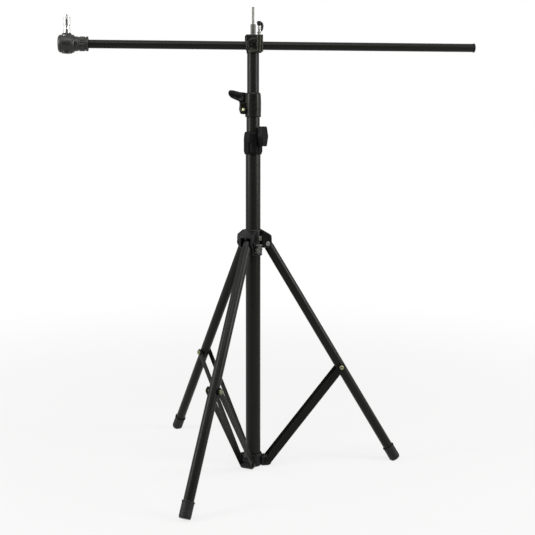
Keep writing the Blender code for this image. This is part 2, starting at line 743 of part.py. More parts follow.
def brace(side, base):
    """A pair of flat bars that straddle the hub's lug and the leg, with the bolt's two ends."""
    azimuth = math.radians(LEG_AZIMUTHS[side])
    place = (HUB_PIVOT_RADIUS * math.cos(azimuth), HUB_PIVOT_RADIUS * math.sin(azimuth), HUB_PIVOT_HEIGHT)
    pivot = empty("brace_pivot_" + side, place, (0, BRACE_LEAN, azimuth), base)
    half = BRACE_WIDTH / 2
    outline = [*arc((0, 0), half, 180, 360, 10), *arc((0, BRACE_LENGTH), half, 0, 180, 10)]
    holes = [ring_of((0, 0), BOLT_HOLE), ring_of((0, BRACE_LENGTH), BOLT_HOLE)]
    bars = {"near": (BRACE_INSIDE, BRACE_OUTSIDE), "far": (-BRACE_OUTSIDE, -BRACE_INSIDE)}
    for which, (low, high) in bars.items():
        name = "brace_" + side + "_" + which
        bar = plate_mesh(name, outline, low, high, holes)
        bar.transform(Matrix.Rotation(math.pi / 2, 4, "X"))
        add(name, bar, "black_paint", pivot)
    top = (0, 0, BRACE_LENGTH)
    face = BRACE_OUTSIDE + GAP
    spacer_face = BRACE_INSIDE - GAP
    spacer_end = LEG_RADIUS + LEG_SIDE_GAP
    spacer = BRACE_SPACER_RADIUS
    head = [
        *domed_head(face),
        (BOLT_RADIUS, spacer_face),
        (spacer, spacer_face),
        (spacer, spacer_end),
        (0, spacer_end),
    ]
    bolt = turned_mesh("brace_bolt", head, SMALL_SIDES)
    add("brace_bolt_" + side, bolt, "zinc_steel", pivot, top, UPRIGHT)
    nut = cylinder_mesh("brace_nut", BOLT_FLAT_RADIUS, face, face + BOLT_HEAD, HEX)
    end = add("brace_nut_" + side, nut, "zinc_steel", pivot, top, ALONG_Y)
    stub_end = face + BOLT_HEAD / 2
    place = (pivot, top, ALONG_Y)
    stub = round_cutter("nut_stub_" + side, BOLT_RADIUS, spacer_end, stub_end, *place)
    boolean(end, stub, "UNION")
    ring = round_cutter("nut_spacer_" + side, spacer, spacer_end, spacer_face, *place, SMALL_SIDES)
    boolean(end, ring, "UNION")


def lower_collar(base):
    """The collar clamped on the base tube's top, tapered at both ends, with a boss for its screw."""
    base_bore = BASE_TUBE_RADIUS + GAP
    mid_bore = MID_TUBE_RADIUS + GAP
    step = BASE_TUBE_TOP + GAP
    low_end = base_bore + LOWER_COLLAR_END_WALL
    top_end = mid_bore + LOWER_COLLAR_END_WALL + LOWER_COLLAR_TOP_LIP
    taper = LOWER_COLLAR_TAPER
    profile = [
        (top_end, LOWER_COLLAR_TOP),
        (LOWER_COLLAR_RADIUS, LOWER_COLLAR_TOP - taper),
        (LOWER_COLLAR_RADIUS, LOWER_COLLAR_BOTTOM + taper),
        (low_end, LOWER_COLLAR_BOTTOM),
        (base_bore, LOWER_COLLAR_BOTTOM),
        (base_bore, step),
        (mid_bore, step),
        (mid_bore, LOWER_COLLAR_TOP),
    ]
    collar = add("lower_collar", turned_mesh("lower_collar", profile), "black_plastic", base)
    height = LOWER_COLLAR_TOP - LOWER_KNOB_BELOW_TOP
    turn = (0, 0, math.radians(LOWER_KNOB_AZIMUTH))
    station = empty("lower_knob_station", (0, 0, height), turn, base)
    root = mid_bore + LOWER_COLLAR_END_WALL
    boss_end = LOWER_KNOB_START - LOWER_BOSS_GAP
    boss = round_cutter("lower_boss", LOWER_BOSS_RADIUS, root, boss_end, station, turn=ALONG_X)
    boolean(collar, boss, "UNION")
    boolean(collar, screw_hole("lower_screw_hole", SCREW_CUT_END, station))
    return station


def lower_lock(station):
    """The tall faceted knob whose screw presses the lower collar on to the mid tube."""
    tip = MID_TUBE_RADIUS + SCREW_TIP_GAP
    start = LOWER_KNOB_START
    end = start + LOWER_KNOB_LENGTH
    socket = start + KNOB_SOCKET
    lock_screw("lower_lock_screw", tip, socket - GAP, station)
    tall = LOWER_KNOB_HALF_HEIGHT
    wide = LOWER_KNOB_HALF_WIDTH
    narrow = LOWER_KNOB_END_WIDTH
    outline = [(-narrow, -tall), (narrow, -tall), (wide, 0), (narrow, tall), (-narrow, tall), (-wide, 0)]
    mesh = plate_mesh("lower_lock_knob", outline, start, end)
    mesh.transform(Matrix(((0, 0, 1, 0), (1, 0, 0, 0), (0, 1, 0, 0), (0, 0, 0, 1))))
    knob = add("lower_lock_knob", mesh, "black_plastic", station)
    bevel(knob, LEVER_ROUNDING)
    boolean(knob, screw_hole("lower_knob_socket", socket, station))


def upper_collar(mid):
    """The split collar on the mid tube's top, with two ears that the clamp bolt draws together."""
    mid_bore = MID_TUBE_RADIUS + GAP
    upper_bore = UPPER_TUBE_RADIUS + GAP
    bottom = UPPER_COLLAR_BOTTOM
    top = UPPER_COLLAR_TOP
    step = MID_TUBE_TOP + GAP
    chamfer = UPPER_COLLAR_CHAMFER
    profile = [
        (UPPER_COLLAR_RADIUS - chamfer, top),
        (UPPER_COLLAR_RADIUS, top - chamfer),
        (UPPER_COLLAR_RADIUS, bottom + chamfer / 2),
        (UPPER_COLLAR_RADIUS - chamfer / 2, bottom),
        (mid_bore, bottom),
        (mid_bore, step),
        (upper_bore, step),
        (upper_bore, top),
    ]
    collar = add("upper_collar", turned_mesh("upper_collar", profile), "olive_metal", mid)
    ear_low = bottom + EAR_BOTTOM
    ear_high = ear_low + EAR_HEIGHT
    root = -upper_bore - EAR_ROOT
    corner = EAR_CORNER
    outline = [
        (root, ear_low),
        (root, ear_high),
        *arc((-EAR_REACH + corner, ear_high - corner), corner, 90, 180, 4),
        *arc((-EAR_REACH + corner, ear_low + corner), corner, 180, 270, 4),
    ]
    half = EAR_HALF_DEPTH
    bolt_hole = ring_of((-CLAMP_BOLT_REACH, bottom + CLAMP_BOLT_HEIGHT), BOLT_HOLE)
    ears = add("ears", plate_mesh("ears", outline, -half, half, [bolt_hole]), None, mid, turn=UPRIGHT)
    boolean(collar, ears, "UNION")
    boolean(collar, round_cutter("ear_bore", mid_bore, bottom - THROUGH, step, mid, sides=TUBE_SIDES))
    slit_half = SLIT_WIDTH / 2
    low = (-SLIT_END, -slit_half, ear_low - SLIT_BELOW_EARS)
    high = (-SLIT_START, slit_half, top + THROUGH)
    boolean(collar, add("slit", box_mesh("slit", low, high), None, mid))
    return empty("clamp_pivot", (-CLAMP_BOLT_REACH, 0, bottom + CLAMP_BOLT_HEIGHT), parent=mid)


def wing_lock(pivot):
    """The clamp bolt through the ears and the wing lever that tightens it, behind the collar."""
    front = -EAR_HALF_DEPTH - GAP
    wing_low = UPPER_COLLAR_RADIUS + LEG_SIDE_GAP
    wing_high = wing_low + WING_THICKNESS
    bolt_end = wing_low + WING_BOLT_BITE
    head = cylinder_mesh("clamp_bolt", BOLT_FLAT_RADIUS, front - BOLT_HEAD, front, HEX)
    bolt = add("clamp_bolt", head, "zinc_steel", pivot, turn=ALONG_Y)
    root = front - BOLT_HEAD / 2
    shank = round_cutter("clamp_shank", BOLT_RADIUS, root, bolt_end, pivot, turn=ALONG_Y)
    boolean(bolt, shank, "UNION")
    rise = WING_RISE
    reach = WING_REACH
    root = WING_ROOT_WIDTH
    hub = WING_HUB_RADIUS
    tip = WING_TIP_RADIUS
    outline = [
        *arc((0, 0), hub, 190, 360, 8),
        (root * 0.62, rise * 0.52),
        (root * 0.58, rise * 0.87),
        (-reach * 0.28, rise * 0.93),
        (-reach * 0.64, rise),
        *arc((-reach + tip, rise - tip), tip, 100, 210, 4),
        (-reach * 0.85, rise * 0.655),
        (-reach * 0.16, rise * 0.42),
    ]
    mesh = plate_mesh("wing_lever", outline, wing_low, wing_high)
    mesh.transform(Matrix(((1, 0, 0, 0), (0, 0, 1, 0), (0, 1, 0, 0), (0, 0, 0, 1))))
    mesh.flip_normals()
    lever = add("wing_lever", mesh, "black_plastic", pivot)
    bevel(lever, LEVER_ROUNDING)
    boss_low = EAR_HALF_DEPTH + GAP
    boss_high = wing_low + WING_BOSS_BITE
    boss = round_cutter("wing_boss", hub, boss_low, boss_high, pivot, turn=ALONG_Y)
    boolean(lever, boss, "UNION")
    boolean(lever, round_cutter("wing_socket", BOLT_HOLE, 0, bolt_end + GAP, pivot, turn=ALONG_Y))


def head_fork(head):
    """The fork that turns in the column's top: a plug, a base block and two lugged round cheeks."""
    plug_radius = UPPER_TUBE_RADIUS - UPPER_TUBE_WALL - GAP
    base_low = -ARM_ABOVE_TUBE + GAP
    inside = CRADLE_HALF_DEPTH + GAP
    outside = inside + FORK_CHEEK
    half = FORK_HALF_WIDTH
    narrow = FORK_BASE_HALF_WIDTH
    block = box_mesh("head_fork", (-narrow, -outside, base_low), (narrow, outside, -FORK_CLEAR))
    fork = add("head_fork", block, "olive_metal", head)
    low = base_low - FORK_PLUG_DEPTH
    high = base_low + FORK_JOIN
    boolean(fork, round_cutter("fork_plug", plug_radius, low, high, head, sides=TUBE_SIDES), "UNION")
    cheek = [
        (-half, -FORK_CLEAR - FORK_JOIN),
        (half, -FORK_CLEAR - FORK_JOIN),
        (half, -FORK_LUG_LOW),
        (FORK_LUG_REACH, -FORK_LUG_LOW),
        (FORK_LUG_REACH, -FORK_CHEEK_SHOULDER),
        *arc((0, 0), FORK_CHEEK_RADIUS, -30, 210, 22),
        (-half, -FORK_CHEEK_SHOULDER),
    ]
    hole = ring_of((0, 0), TILT_BOLT_RADIUS + GAP)
    for name, (near, far) in {"front": (inside, outside), "back": (-outside, -inside)}.items():
        plate = add("cheek_" + name, plate_mesh("cheek", cheek, near, far, [hole]), None, head, turn=UPRIGHT)
        boolean(fork, plate, "UNION")
    for name, turn in {"front": UPRIGHT, "back": ALONG_Y}.items():
        tilt_screw("tilt_screw_" + name, outside, head, turn)


def tilt_screw(name, cheek_face, head, turn):
    """A cap screw through one cheek into the cradle's side."""
    face = cheek_face + GAP
    tip = CRADLE_HALF_DEPTH - TILT_BOLT_BITE + GAP
    profile = [
        (0, face + TILT_BOLT_HEAD),
        (TILT_BOLT_HEAD_RADIUS - TILT_BOLT_CHAMFER, face + TILT_BOLT_HEAD),
        (TILT_BOLT_HEAD_RADIUS, face + TILT_BOLT_HEAD - TILT_BOLT_CHAMFER),
        (TILT_BOLT_HEAD_RADIUS, face),
        (TILT_BOLT_RADIUS, face),
        (TILT_BOLT_RADIUS, tip),
        (0, tip),
    ]
    add(name, turned_mesh(name, profile, SMALL_SIDES), "black_paint", head, turn=turn)


def cradle(tilt):
    """The block between the cheeks that the arm slides through, with a flat top for the spigot."""
    half = CRADLE_HALF_DEPTH
    disc = ring_of((0, 0), CRADLE_RADIUS, CRADLE_SIDES)
    body = add("arm_cradle", plate_mesh("arm_cradle", disc, -half, half), "olive_metal", tilt, turn=UPRIGHT)
    low = (-CRADLE_LEFT, -half, CRADLE_LOW)
    high = (CRADLE_RIGHT, half, CRADLE_TOP)
    top = add("cradle_block", box_mesh("cradle_block", low, high), None, tilt)
    bevel(top, CRADLE_BEVEL)
    boolean(body, top, "UNION")
    bore = round_cutter("arm_bore", ARM_RADIUS + GAP, -THROUGH, THROUGH, tilt, turn=ALONG_X, sides=LEG_SIDES)
    boolean(body, bore)
    sink = CRADLE_TOP - SPIGOT_SHANK_LENGTH
    boolean(body, round_cutter("spigot_hole", SPIGOT_SHANK_RADIUS + GAP, sink, THROUGH, tilt))
    screw_place = (ARM_LOCK_OFFSET, 0, 0)
    boolean(body, round_cutter("arm_lock_hole", BOLT_HOLE, 0, THROUGH, tilt, screw_place))
    bite = half - TILT_BOLT_BITE
    for name, turn in {"front": UPRIGHT, "back": ALONG_Y}.items():
        socket = round_cutter("tilt_socket_" + name, TILT_BOLT_RADIUS + GAP, bite, THROUGH, tilt, turn=turn)
        boolean(body, socket)
    top_spigot(tilt)


def top_spigot(tilt):
    """The stepped spigot on the cradle: a shank in the block, a wide part and a thin stud."""
    seat = CRADLE_TOP + GAP
    wide_top = seat + TOP_SPIGOT_LENGTH
    shank_end = seat - SPIGOT_SHANK_LENGTH + 2 * GAP
    radius = TOP_SPIGOT_RADIUS
    profile = [
        (0, wide_top + TOP_STUD_LENGTH),
        (STUD_RADIUS - STUD_CHAMFER, wide_top + TOP_STUD_LENGTH),
        (STUD_RADIUS, wide_top + TOP_STUD_LENGTH - STUD_CHAMFER),
        (STUD_RADIUS, wide_top),
        (radius - SPIGOT_CHAMFER, wide_top),
        (radius, wide_top - SPIGOT_CHAMFER),
        (radius, seat),
        (SPIGOT_SHANK_RADIUS, seat),
        (SPIGOT_SHANK_RADIUS, shank_end),
        (0, shank_end),
    ]
    add("top_spigot", turned_mesh("top_spigot", profile, SMALL_SIDES), "nickel_steel", tilt)


def arm_lock(tilt):
    """The upright screw that presses on the arm, its jam nut and its hooked handle."""
    pivot = empty("arm_lock_pivot", (ARM_LOCK_OFFSET, 0, 0), parent=tilt)
    tip = ARM_RADIUS + SCREW_TIP_GAP
    screw = cylinder_mesh("arm_lock_screw", BOLT_RADIUS, tip, ARM_LOCK_TOP)
    add("arm_lock_screw", screw, "nickel_steel", pivot)
    nut = cylinder_mesh("arm_lock_nut", ARM_LOCK_NUT_RADIUS, ARM_LOCK_NUT_LOW, ARM_LOCK_NUT_HIGH, HEX)
    ring = add("arm_lock_nut", nut, "zinc_steel", pivot)
    boolean(ring, round_cutter("arm_lock_nut_hole", BOLT_HOLE, 0, ARM_LOCK_TOP, pivot))
    hub_low = ARM_LOCK_TOP + GAP - HANDLE_HUB_SOCKET
    hub_high = hub_low + HANDLE_HUB_HEIGHT
    rod = HANDLE_ROD
    curve = bpy.data.curves.new("hook", "CURVE")
    curve.dimensions = "3D"
    curve.bevel_depth = rod
    curve.bevel_resolution = 2
    curve.use_fill_caps = True
    high = hub_high - rod
    route = [
        (-HANDLE_TAIL, high, 1.0),
        (HANDLE_REACH * 0.30, high, 1.0),
        (HANDLE_REACH * 0.78, high - HANDLE_HANG * 0.12, 1.0),
        (HANDLE_REACH, high - HANDLE_HANG * 0.40, 1.0),
        (HANDLE_REACH, high - HANDLE_HANG * 0.67, 1.0),
        (HANDLE_REACH * 0.88, high - HANDLE_HANG, 0.9),
        (HANDLE_TIP_IN, high - HANDLE_TIP_HANG, 0.55),
    ]
    spline = curve.splines.new("POLY")
    spline.points.add(len(route) - 1)
    for point, (x, z, share) in zip(spline.points, route):
        point.co = (x, 0, z, 1)
        point.radius = share
    guide = bpy.data.objects.new("hook_guide", curve)
    CUTTERS.objects.link(guide)
    handle = add("arm_lock_handle", baked(guide, "arm_lock_handle"), "black_plastic", pivot)
    hub = round_cutter("handle_hub", HANDLE_HUB_RADIUS, hub_low, hub_high + HANDLE_HUB_CROWN, pivot)
    boolean(handle, hub, "UNION")
    boolean(handle, round_cutter("handle_socket", BOLT_HOLE, 0, ARM_LOCK_TOP + GAP, pivot))


def arm(carrier):
    """The boom's tube, its end cap and the ribbed neck fixed on its left end."""
    tube("arm_tube", ARM_RADIUS, ARM_WALL, ARM_LEFT, ARM_RIGHT, "black_paint", carrier, LEG_SIDES, ALONG_X)
    plug = ARM_RADIUS - ARM_WALL - GAP
    seat = ARM_RIGHT + GAP
    cap_end = seat + ARM_CAP_LENGTH
    cap = [
        (0, cap_end),
        (ARM_CAP_RADIUS - ARM_CAP_CHAMFER, cap_end),
        (ARM_CAP_RADIUS, cap_end - ARM_CAP_CHAMFER),
        (ARM_CAP_RADIUS, seat),
        (plug, seat),
        (plug, seat - ARM_CAP_PLUG),
        (0, seat - ARM_CAP_PLUG),
    ]
    add("arm_end_cap", turned_mesh("arm_end_cap", cap, LEG_SIDES), "black_plastic", carrier, turn=ALONG_X)
    bore = ARM_RADIUS + GAP
    floor = ARM_LEFT - GAP
    groove = NECK_RADIUS - NECK_GROOVE
    third = (NECK_RIGHT - NECK_LEFT) / 3
    neck = [
        (0, floor),
        (bore, floor),
        (bore, NECK_RIGHT),
        (NECK_RADIUS - NECK_END_ROUND, NECK_RIGHT),
        (NECK_RADIUS, NECK_RIGHT - NECK_END_ROUND),
        (NECK_RADIUS, NECK_RIGHT - third * 0.5),
        (groove, NECK_RIGHT - third * 0.7),
        (groove, NECK_RIGHT - third * 0.9),
        (NECK_RADIUS, NECK_RIGHT - third * 1.1),
        (NECK_RADIUS, NECK_RIGHT - third * 1.7),
        (groove, NECK_RIGHT - third * 1.85),
        (groove, NECK_LEFT + third * 0.9),
        (NECK_RADIUS, NECK_LEFT + third * 0.75),
        (NECK_RADIUS, NECK_LEFT),
        (JOURNAL_RADIUS, NECK_LEFT),
        (JOURNAL_RADIUS, NECK_LEFT - JOURNAL_LENGTH),
        (0, NECK_LEFT - JOURNAL_LENGTH),
    ]
    add("arm_neck", turned_mesh("arm_neck", neck), "grey_plastic", carrier, turn=ALONG_X)


def arm_head(carrier):
    """The barrel that turns on the neck, and the spigot that passes down through it to a nut."""
    dome = BARREL_DOME
    profile = [
        (0, BARREL_RIGHT),
        (BARREL_RADIUS - BARREL_CHAMFER, BARREL_RIGHT),
        (BARREL_RADIUS, BARREL_RIGHT - BARREL_CHAMFER),
        (BARREL_RADIUS, BARREL_LEFT + dome),
        (BARREL_RADIUS * 0.94, BARREL_LEFT + dome * 0.45),
        (BARREL_RADIUS * 0.78, BARREL_LEFT + dome * 0.12),
        (BARREL_RADIUS * 0.60, BARREL_LEFT),
        (0, BARREL_LEFT),
    ]
    barrel = add("arm_head_barrel", turned_mesh("barrel", profile), "grey_plastic", carrier, turn=ALONG_X)
    place = (SPIGOT_X, 0, 0)
    root = BARREL_BOSS_ROOT
    bosses = {
        "top_boss": (BARREL_TOP_BOSS_RADIUS, root, BARREL_BOSS_HEIGHT),
        "low_boss": (BARREL_BOTTOM_BOSS_RADIUS, -BARREL_BOTTOM_FLAT, -root),
    }
    for name, (radius, low, high) in bosses.items():
        boss = round_cutter(name, radius, low, high, carrier, place, sides=LEG_SIDES)
        boolean(barrel, boss, "UNION")
    pocket = (NUT_POCKET_RADIUS, -THROUGH, -NUT_POCKET_ROOF)
    boolean(barrel, round_cutter("nut_pocket", *pocket, carrier, place, sides=LEG_SIDES))
    socket = NECK_LEFT - JOURNAL_LENGTH - GAP
    gap = JOURNAL_RADIUS + GAP
    bore = round_cutter("journal_bore", gap, socket, BARREL_CUT_END, carrier, turn=ALONG_X, sides=TUBE_SIDES)
    boolean(barrel, bore)
    shank = SPIGOT_SHANK_RADIUS
    boolean(barrel, round_cutter("shank_hole", shank + GAP, -THROUGH, THROUGH, carrier, place))
    seat = BARREL_BOSS_HEIGHT + GAP
    nut_top = -NUT_POCKET_ROOF - GAP
    nut_low = nut_top - SPIGOT_NUT_LENGTH
    spigot_top = seat + ARM_SPIGOT_LENGTH
    waist_low = seat + ARM_SPIGOT_WAIST_UP
    waist_high = waist_low + ARM_SPIGOT_WAIST_LENGTH
    slope = ARM_SPIGOT_RADIUS - ARM_SPIGOT_WAIST
    spigot = [
        (0, spigot_top + ARM_STUD_LENGTH),
        (STUD_RADIUS - STUD_CHAMFER, spigot_top + ARM_STUD_LENGTH),
        (STUD_RADIUS, spigot_top + ARM_STUD_LENGTH - STUD_CHAMFER),
        (STUD_RADIUS, spigot_top),
        (ARM_SPIGOT_RADIUS - STUD_CHAMFER, spigot_top),
        (ARM_SPIGOT_RADIUS, spigot_top - STUD_CHAMFER),
        (ARM_SPIGOT_RADIUS, waist_high),
        (ARM_SPIGOT_WAIST, waist_high - slope),
        (ARM_SPIGOT_WAIST, waist_low + slope),
        (ARM_SPIGOT_RADIUS, waist_low),
        (ARM_SPIGOT_RADIUS, seat),
        (shank, seat),
        (shank, nut_low),
        (0, nut_low),
    ]
    add("arm_spigot", turned_mesh("arm_spigot", spigot, LEG_SIDES), "nickel_steel", carrier, place)
    nut = cylinder_mesh("spigot_nut", SPIGOT_NUT_RADIUS, nut_low, nut_top, HEX)
    ring = add("spigot_nut", nut, "nickel_steel", carrier, place)
    boolean(ring, round_cutter("nut_hole", shank + GAP, -THROUGH, 0, carrier, place))


def build():
    """Make every piece, from the floor up."""
    base = empty("base_frame")
    spider_slide = empty("spider_slide", (0, 0, LEG_PIVOT_HEIGHT), parent=base)
    mid = empty("mid_slide", parent=base)
    upper = empty("upper_slide", parent=mid)
    head = empty("head_turn", (0, 0, ARM_HEIGHT), parent=upper)
    tilt = empty("head_tilt", parent=head)
    arm_slide = empty("arm_slide", parent=tilt)
    arm_turn = empty("arm_head_turn", parent=arm_slide)
    column_tubes(base, mid, upper)
    bottom_hub(base)
    spider_lock(spider(spider_slide))
    for side in LEG_AZIMUTHS:
        leg(side, spider_slide)
        brace(side, base)
    lower_lock(lower_collar(base))
    wing_lock(upper_collar(mid))
    head_fork(head)
    cradle(tilt)
    arm_lock(tilt)
    arm(arm_slide)
    arm_head(arm_turn)


clear_scene()
PARTS = collection("light_stand")
CUTTERS = collection("cutters")
build()
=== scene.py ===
"""Light stand with a boom arm: the dressed model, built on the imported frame.

Shapes are worked out in millimetres, and scaled to metres when their mesh is made.
"""

import math

import bmesh
import bpy
import numpy as np
from mathutils import Matrix, Vector


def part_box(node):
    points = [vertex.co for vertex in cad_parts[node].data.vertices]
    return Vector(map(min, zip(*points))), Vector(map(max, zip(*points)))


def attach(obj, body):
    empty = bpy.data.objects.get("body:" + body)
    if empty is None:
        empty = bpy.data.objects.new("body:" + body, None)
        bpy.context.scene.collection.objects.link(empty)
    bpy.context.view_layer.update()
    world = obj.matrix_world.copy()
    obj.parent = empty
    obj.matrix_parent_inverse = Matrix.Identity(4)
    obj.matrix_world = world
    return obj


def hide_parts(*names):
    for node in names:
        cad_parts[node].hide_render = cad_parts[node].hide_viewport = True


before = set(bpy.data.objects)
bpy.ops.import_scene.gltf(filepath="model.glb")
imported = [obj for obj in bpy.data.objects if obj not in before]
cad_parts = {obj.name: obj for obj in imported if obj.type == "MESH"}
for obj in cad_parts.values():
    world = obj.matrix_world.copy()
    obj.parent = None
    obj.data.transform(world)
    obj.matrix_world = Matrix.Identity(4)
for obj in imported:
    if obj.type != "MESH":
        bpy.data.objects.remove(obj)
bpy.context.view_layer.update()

bl_info = {
    "name": "Light stand with boom arm",
    "version": (1, 0, 0),
    "blender": (4, 5, 0),
    "location": "3D View > Sidebar > Light Stand",
    "description": "Folding light stand with a tilting boom arm, piece by piece",
    "category": "Object",
}

MILLIMETRE = 0.001
MERGE_DISTANCE = 0.000002
TINY = 1e-9
EDGE_STEPS = 5
SHARP_ANGLE = math.radians(38)
TURN_SIDES = 96
SMALL_SIDES = 48
FULL_TURN = 2 * math.pi
LEG_AZIMUTHS = {"right": 0.0, "back_left": 120.0, "front_left": -120.0}
LEG_SPREAD = math.radians(30.7)
LEG_LENGTH = 635
LEG_PIVOT_RADIUS = 34
BRACE_DROP = 360
BRACE_MIDDLE = 15.05
HUB_PIVOT = (34, 13.3)
BRACE_BOLT_FACE = 16.1
LEG_BOLT_FACE = 17.7
LAMP_TARGET = Vector((0, 0, 0.85))
CAMERA_SHIFT = (0.0269, -0.1719)
BASE_TUBE_BORE = 18.3


def box_of(name):
    """A CAD node's lowest and highest corners, in millimetres."""
    low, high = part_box(name)
    return low / MILLIMETRE, high / MILLIMETRE


def middle(name):
    """The middle of a CAD node's box, in millimetres."""
    low, high = box_of(name)
    return (low + high) / 2


ARM_HEIGHT = middle("arm_tube").z
LEG_PIVOT_HEIGHT = middle("leg_pivot_bolt_right").z
SPIGOT_X = middle("arm_spigot").x


def linear(code):
    """A hex colour, as seen on a screen, as linear RGBA."""
    channels = np.array([int(code[i : i + 2], 16) for i in (1, 3, 5)]) / 255
    low = channels / 12.92
    high = ((channels + 0.055) / 1.055) ** 2.4
    return (*np.where(channels <= 0.04045, low, high).tolist(), 1.0)


def eased(points, width, steps=4, closed=False):
    """A line of (a, b) points with each corner P drawn as a short quadratic curve.

    The curve is (1-t)^2 S + 2t(1-t) P + t^2 E, where S and E lie on the corner's two sides at the
    width, or at 0.45 of a side that is shorter than that allows.
    """
    line = np.asarray(points, float)
    back = np.roll(line, 1, 0) - line
    ahead = np.roll(line, -1, 0) - line
    back_length = np.linalg.norm(back, axis=1, keepdims=True)
    ahead_length = np.linalg.norm(ahead, axis=1, keepdims=True)
    reach = np.minimum(width, 0.45 * np.minimum(back_length, ahead_length))
    start = line + back / back_length * reach
    end = line + ahead / ahead_length * reach
    t = np.linspace(0, 1, steps)[None, :, None]
    curve = (1 - t) ** 2 * start[:, None] + 2 * t * (1 - t) * line[:, None] + t**2 * end[:, None]
    if closed:
        return curve.reshape(-1, 2)
    return np.vstack([line[:1], curve[1:-1].reshape(-1, 2), line[-1:]])


def arc(centre, radius, start, stop, steps):
    """Points of a circle's arc, angles in degrees."""
    angle = np.radians(np.linspace(start, stop, steps))
    return np.stack([centre[0] + radius * np.cos(angle), centre[1] + radius * np.sin(angle)], 1)


def turned(profile, sides=TURN_SIDES, wave=None, loop=False):
    """A turned surface: profile point (r, h) at angle a stands at (s r cos a, s r sin a, h).

    The scale s is 1, or wave(a, r, h). A looped profile joins its last ring to its first.
    """
    line = np.asarray(profile, float)
    radius = line[:, 0, None]
    height = line[:, 1, None]
    angle = np.arange(sides)[None, :] * FULL_TURN / sides
    scale = 1.0 if wave is None else wave(angle, radius, height)
    x = scale * radius * np.cos(angle)
    y = scale * radius * np.sin(angle)
    return shell(np.stack([x, y, height + 0 * x], -1), loop)


def shell(rings, loop=False):
    """Points, faces and surface coordinates of a (rings, points, 3) grid of closed rings.

    Surface coordinates are the distance round the widest ring, and the sum of the longest steps
    from ring to ring.
    """
    rows, columns = rings.shape[:2]
    index = np.arange(rows * columns).reshape(rows, columns)
    steps = np.linalg.norm(np.roll(rings, -1, 1) - rings, axis=2)
    widest = steps[steps.sum(1).argmax()]
    around = np.concatenate([[0], np.cumsum(widest)])
    climb = np.linalg.norm(np.roll(rings, -1, 0) - rings, axis=2).max(1)
    along = np.concatenate([[0], np.cumsum(climb)])
    last = rows if loop else rows - 1
    top = np.roll(index, -1, 0)[:last]
    low = index[:last]
    faces = np.stack([low, np.roll(low, -1, 1), np.roll(top, -1, 1), top], -1).reshape(-1, 4)
    u = np.stack([around[:-1], around[1:], around[1:], around[:-1]], -1)
    u = np.broadcast_to(u, (last, columns, 4))
    v = np.stack([along[:last], along[:last], along[1 : last + 1], along[1 : last + 1]], -1)
    v = np.broadcast_to(v[:, None], (last, columns, 4))
    return rings.reshape(-1, 3), faces, np.stack([u, v], -1).reshape(-1, 2)


def plate(outline, low, high, edge, rim=0, dish=0, centre=None):
    """A flat plate with rounded edges, its faces optionally dished inside a rim.

    A ring is the outline moved inward by edge(1 - cos t) at a height edge(1 - sin t) inside the
    face; the faces close on the centre, sunk by the dish past the rim.
    """
    line = np.asarray(outline, float)
    ahead = np.roll(line, -1, 0)
    if np.sum(line[:, 0] * ahead[:, 1] - ahead[:, 0] * line[:, 1]) < 0:
        line = line[::-1]
    tangent = np.roll(line, -1, 0) - np.roll(line, 1, 0)
    inward = np.stack([-tangent[:, 1], tangent[:, 0]], 1)
    inward = inward / np.linalg.norm(inward, axis=1, keepdims=True)
    t = np.linspace(0, math.pi / 2, EDGE_STEPS)
    inset = edge * (1 - np.cos(t))
    height = high - edge + edge * np.sin(t)
    if rim:
        inset = np.append(inset, [edge + rim, edge + rim + dish])
        height = np.append(height, [high, high - dish])
    upper = line[None] + inset[:, None, None] * inward[None]
    upper = np.concatenate([upper, np.broadcast_to(height[:, None, None], (*upper.shape[:2], 1))], 2)
    core = line.mean(0) if centre is None else np.asarray(centre, float)
    hub = np.broadcast_to([*core, height[-1]], (1, len(line), 3))
    upper = np.concatenate([upper, hub])
    lower = upper[::-1].copy()
    lower[:, :, 2] = low + high - lower[:, :, 2]
    return shell(np.concatenate([lower, upper]))


def carried(path, radii, sides, depth):
    """A round section carried along a path in the XZ plane and closed at both ends.

    Ring i is centred on path point i, square to the path; its radius is radii[i], and its depth
    in Y is scaled by depth.
    """
    line = np.asarray(path, float)
    tangent = np.gradient(line, axis=0)
    tangent = tangent / np.linalg.norm(tangent, axis=1, keepdims=True)
    side = np.stack([-tangent[:, 1], tangent[:, 0]], 1)
    angle = np.arange(sides) * FULL_TURN / sides
    radius = np.asarray(radii, float)[:, None]
    x = line[:, 0, None] + radius * np.cos(angle) * side[:, 0, None]
    z = line[:, 1, None] + radius * np.cos(angle) * side[:, 1, None]
    y = radius * depth * np.sin(angle)
    return shell(np.stack([x, y, z], -1))


def smooth_line(points, count):
    """A smooth line through points: each coordinate is a cubic of the distance along them."""
    line = np.asarray(points, float)
    spacing = np.linalg.norm(np.diff(line, axis=0), axis=1)
    knots = np.concatenate([[0], np.cumsum(spacing)])
    slope = np.gradient(line, knots, axis=0)
    place = np.linspace(0, knots[-1], count)
    cell = np.clip(np.searchsorted(knots, place, side="right") - 1, 0, len(line) - 2)
    width = (knots[cell + 1] - knots[cell])[:, None]
    t = (place - knots[cell])[:, None] / width
    start = (2 * t**3 - 3 * t**2 + 1) * line[cell] + (t**3 - 2 * t**2 + t) * width * slope[cell]
    end = (3 * t**2 - 2 * t**3) * line[cell + 1] + (t**3 - t**2) * width * slope[cell + 1]
    return start + end


def moved(part, matrix):
    """A shell with its points moved by a matrix."""
    points, faces, coordinates = part
    grid = np.array(matrix)
    return points @ grid[:3, :3].T + grid[:3, 3], faces, coordinates


